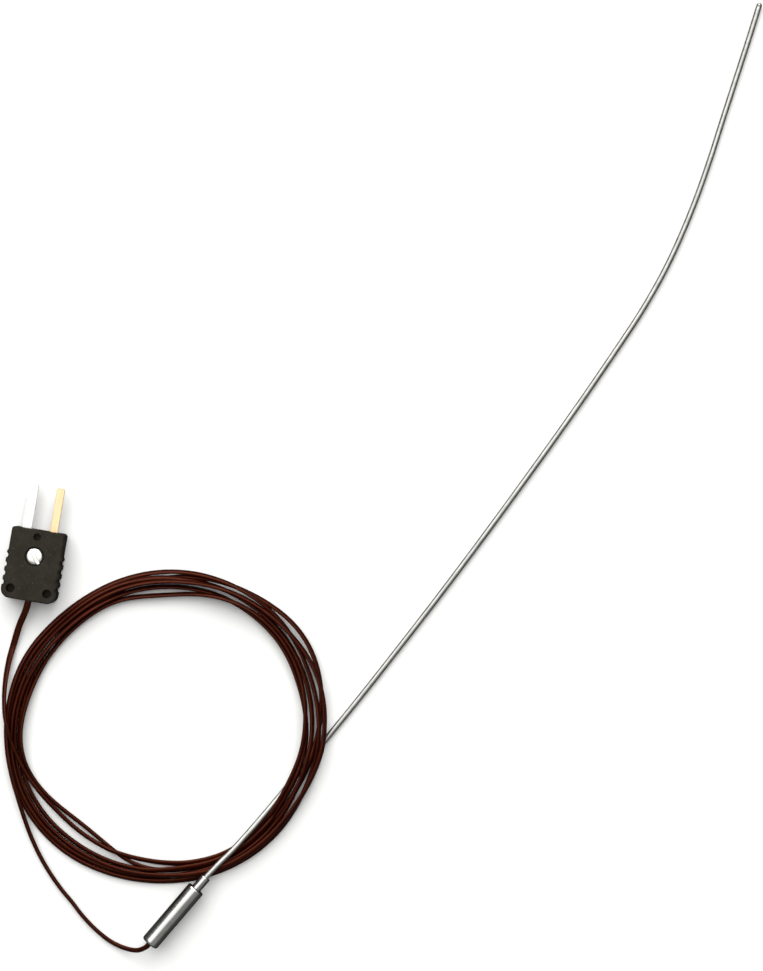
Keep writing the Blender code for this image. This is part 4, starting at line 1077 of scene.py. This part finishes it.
def make_tip():
    """The weld that closes the sheath: a smooth dome with a stub inside the tube."""
    end = Vector(PROBE_ROUTE[-1])
    before = Vector(PROBE_ROUTE[-2])
    heading = math.atan2(end.y - before.y, end.x - before.x)
    profile = [(0.0, WELD_START + WELD_HEIGHT)]
    for angle in range(84, -1, -12):
        turn = math.radians(angle)
        profile.append((SHEATH_RADIUS * math.cos(turn), WELD_START + WELD_HEIGHT * math.sin(turn)))
    profile += [(SHEATH_RADIUS, -WELD_BACK), (WELD_STUB_RADIUS, -WELD_STUB_START),
                (WELD_STUB_RADIUS, -WELD_STUB_LENGTH), (0.0, -WELD_STUB_LENGTH)]
    mesh = soften(lathe(profile, sides=24, along_x=True))
    mesh.transform(Matrix.Translation(end * MM) @ Matrix.Rotation(heading, 4, "Z"))
    return add_piece("tip_dome", mesh, "weld_steel", ROOT, ["tip_weld_cap"])


def turned_part(name, section, sides, replaced):
    """A bright turned part on the joint's axis."""
    mesh = soften(lathe(section, sides=sides, along_x=True), 40.0)
    mesh.transform(Matrix.Translation(JOINT_LEAD_END * MM))
    return add_piece(name, mesh, "joint_steel", ROOT, [replaced])


def make_joint():
    """The turned sleeve with its broken edges, and the bush whose collar carries the sheath."""
    inner = SLEEVE_RADIUS - SLEEVE_WALL
    sleeve = [(inner, SLEEVE_LENGTH)]
    sleeve += [(SLEEVE_RADIUS + step, SLEEVE_LENGTH - back) for step, back in SLEEVE_CUT_END]
    sleeve += [(SLEEVE_RADIUS + step, along) for step, along in ROLLED_END]
    sleeve.append((inner, POTTING_LIP))
    turned_part("sleeve_tube", sleeve, 72, "transition_sleeve")
    bore_radius = SHEATH_RADIUS + SHEATH_ROOM
    shoulder = SLEEVE_LENGTH - SHOULDER_INSET
    bush = [(bore_radius, COLLAR_END)]
    bush += [(COLLAR_RADIUS + step, COLLAR_END - back) for step, back in COLLAR_CUT_END]
    bush += [(COLLAR_RADIUS + step, shoulder + along) for step, along in COLLAR_FOOT]
    bush += [(inner - BUSH_GAP, shoulder), (inner - BUSH_GAP, BUSH_START), (bore_radius, BUSH_START)]
    turned_part("stepped_bush", bush, 56, "reducer_bush")


# ---------------- build

make_camera()
make_floor()
make_light()

FINISHES = make_finishes()
lead_path, lead_tilt = lead_route()
lead = add_piece("lead", lead_mesh(lead_path, lead_tilt), "lead_jacket", ROOT,
                 ["lead_tail_joint", "lead_coil", "lead_tail_plug"])
base_moulding = make_plug_base()
cover_moulding = make_plug_cover()
gold_blade = make_blade(1, "positive", POSITIVE_WIDTH, "gold_plate")
nickel_blade = make_blade(-1, "negative", NEGATIVE_WIDTH, "nickel_plate")
slotted_screw = make_cover_screw()
clamp_screws = [make_terminal_screw(side, name) for side, name in ((1, "positive"), (-1, "negative"))]
make_sheath()
make_tip()
make_joint()

# The CAD nodes that keep their shapes, and their finishes
INSIDE_PROBE = {
    "magnesia_insulation": "magnesia", "positive_thermoelement": "iron",
    "negative_thermoelement": "constantan", "hot_junction_bead": "weld_steel",
    "sheath_end_seal": "potting", "potting_compound": "potting", "positive_splice": "crimp",
    "negative_splice": "crimp", "positive_core_at_joint": "white_insulation",
    "negative_core_at_joint": "red_insulation",
}
INSIDE_PLUG = {
    "screw_retainer": "spring_steel", "cover_nut": "bright_steel", "clamp_washer_positive": "nickel_plate",
    "clamp_washer_negative": "nickel_plate", "positive_strand": "iron", "negative_strand": "constantan",
    "positive_core_in_plug": "white_insulation", "negative_core_in_plug": "red_insulation",
}
for node, finish_name in {**INSIDE_PROBE, **INSIDE_PLUG}.items():
    for material_slot in bpy.data.objects[node].material_slots:
        material_slot.material = FINISHES[finish_name]
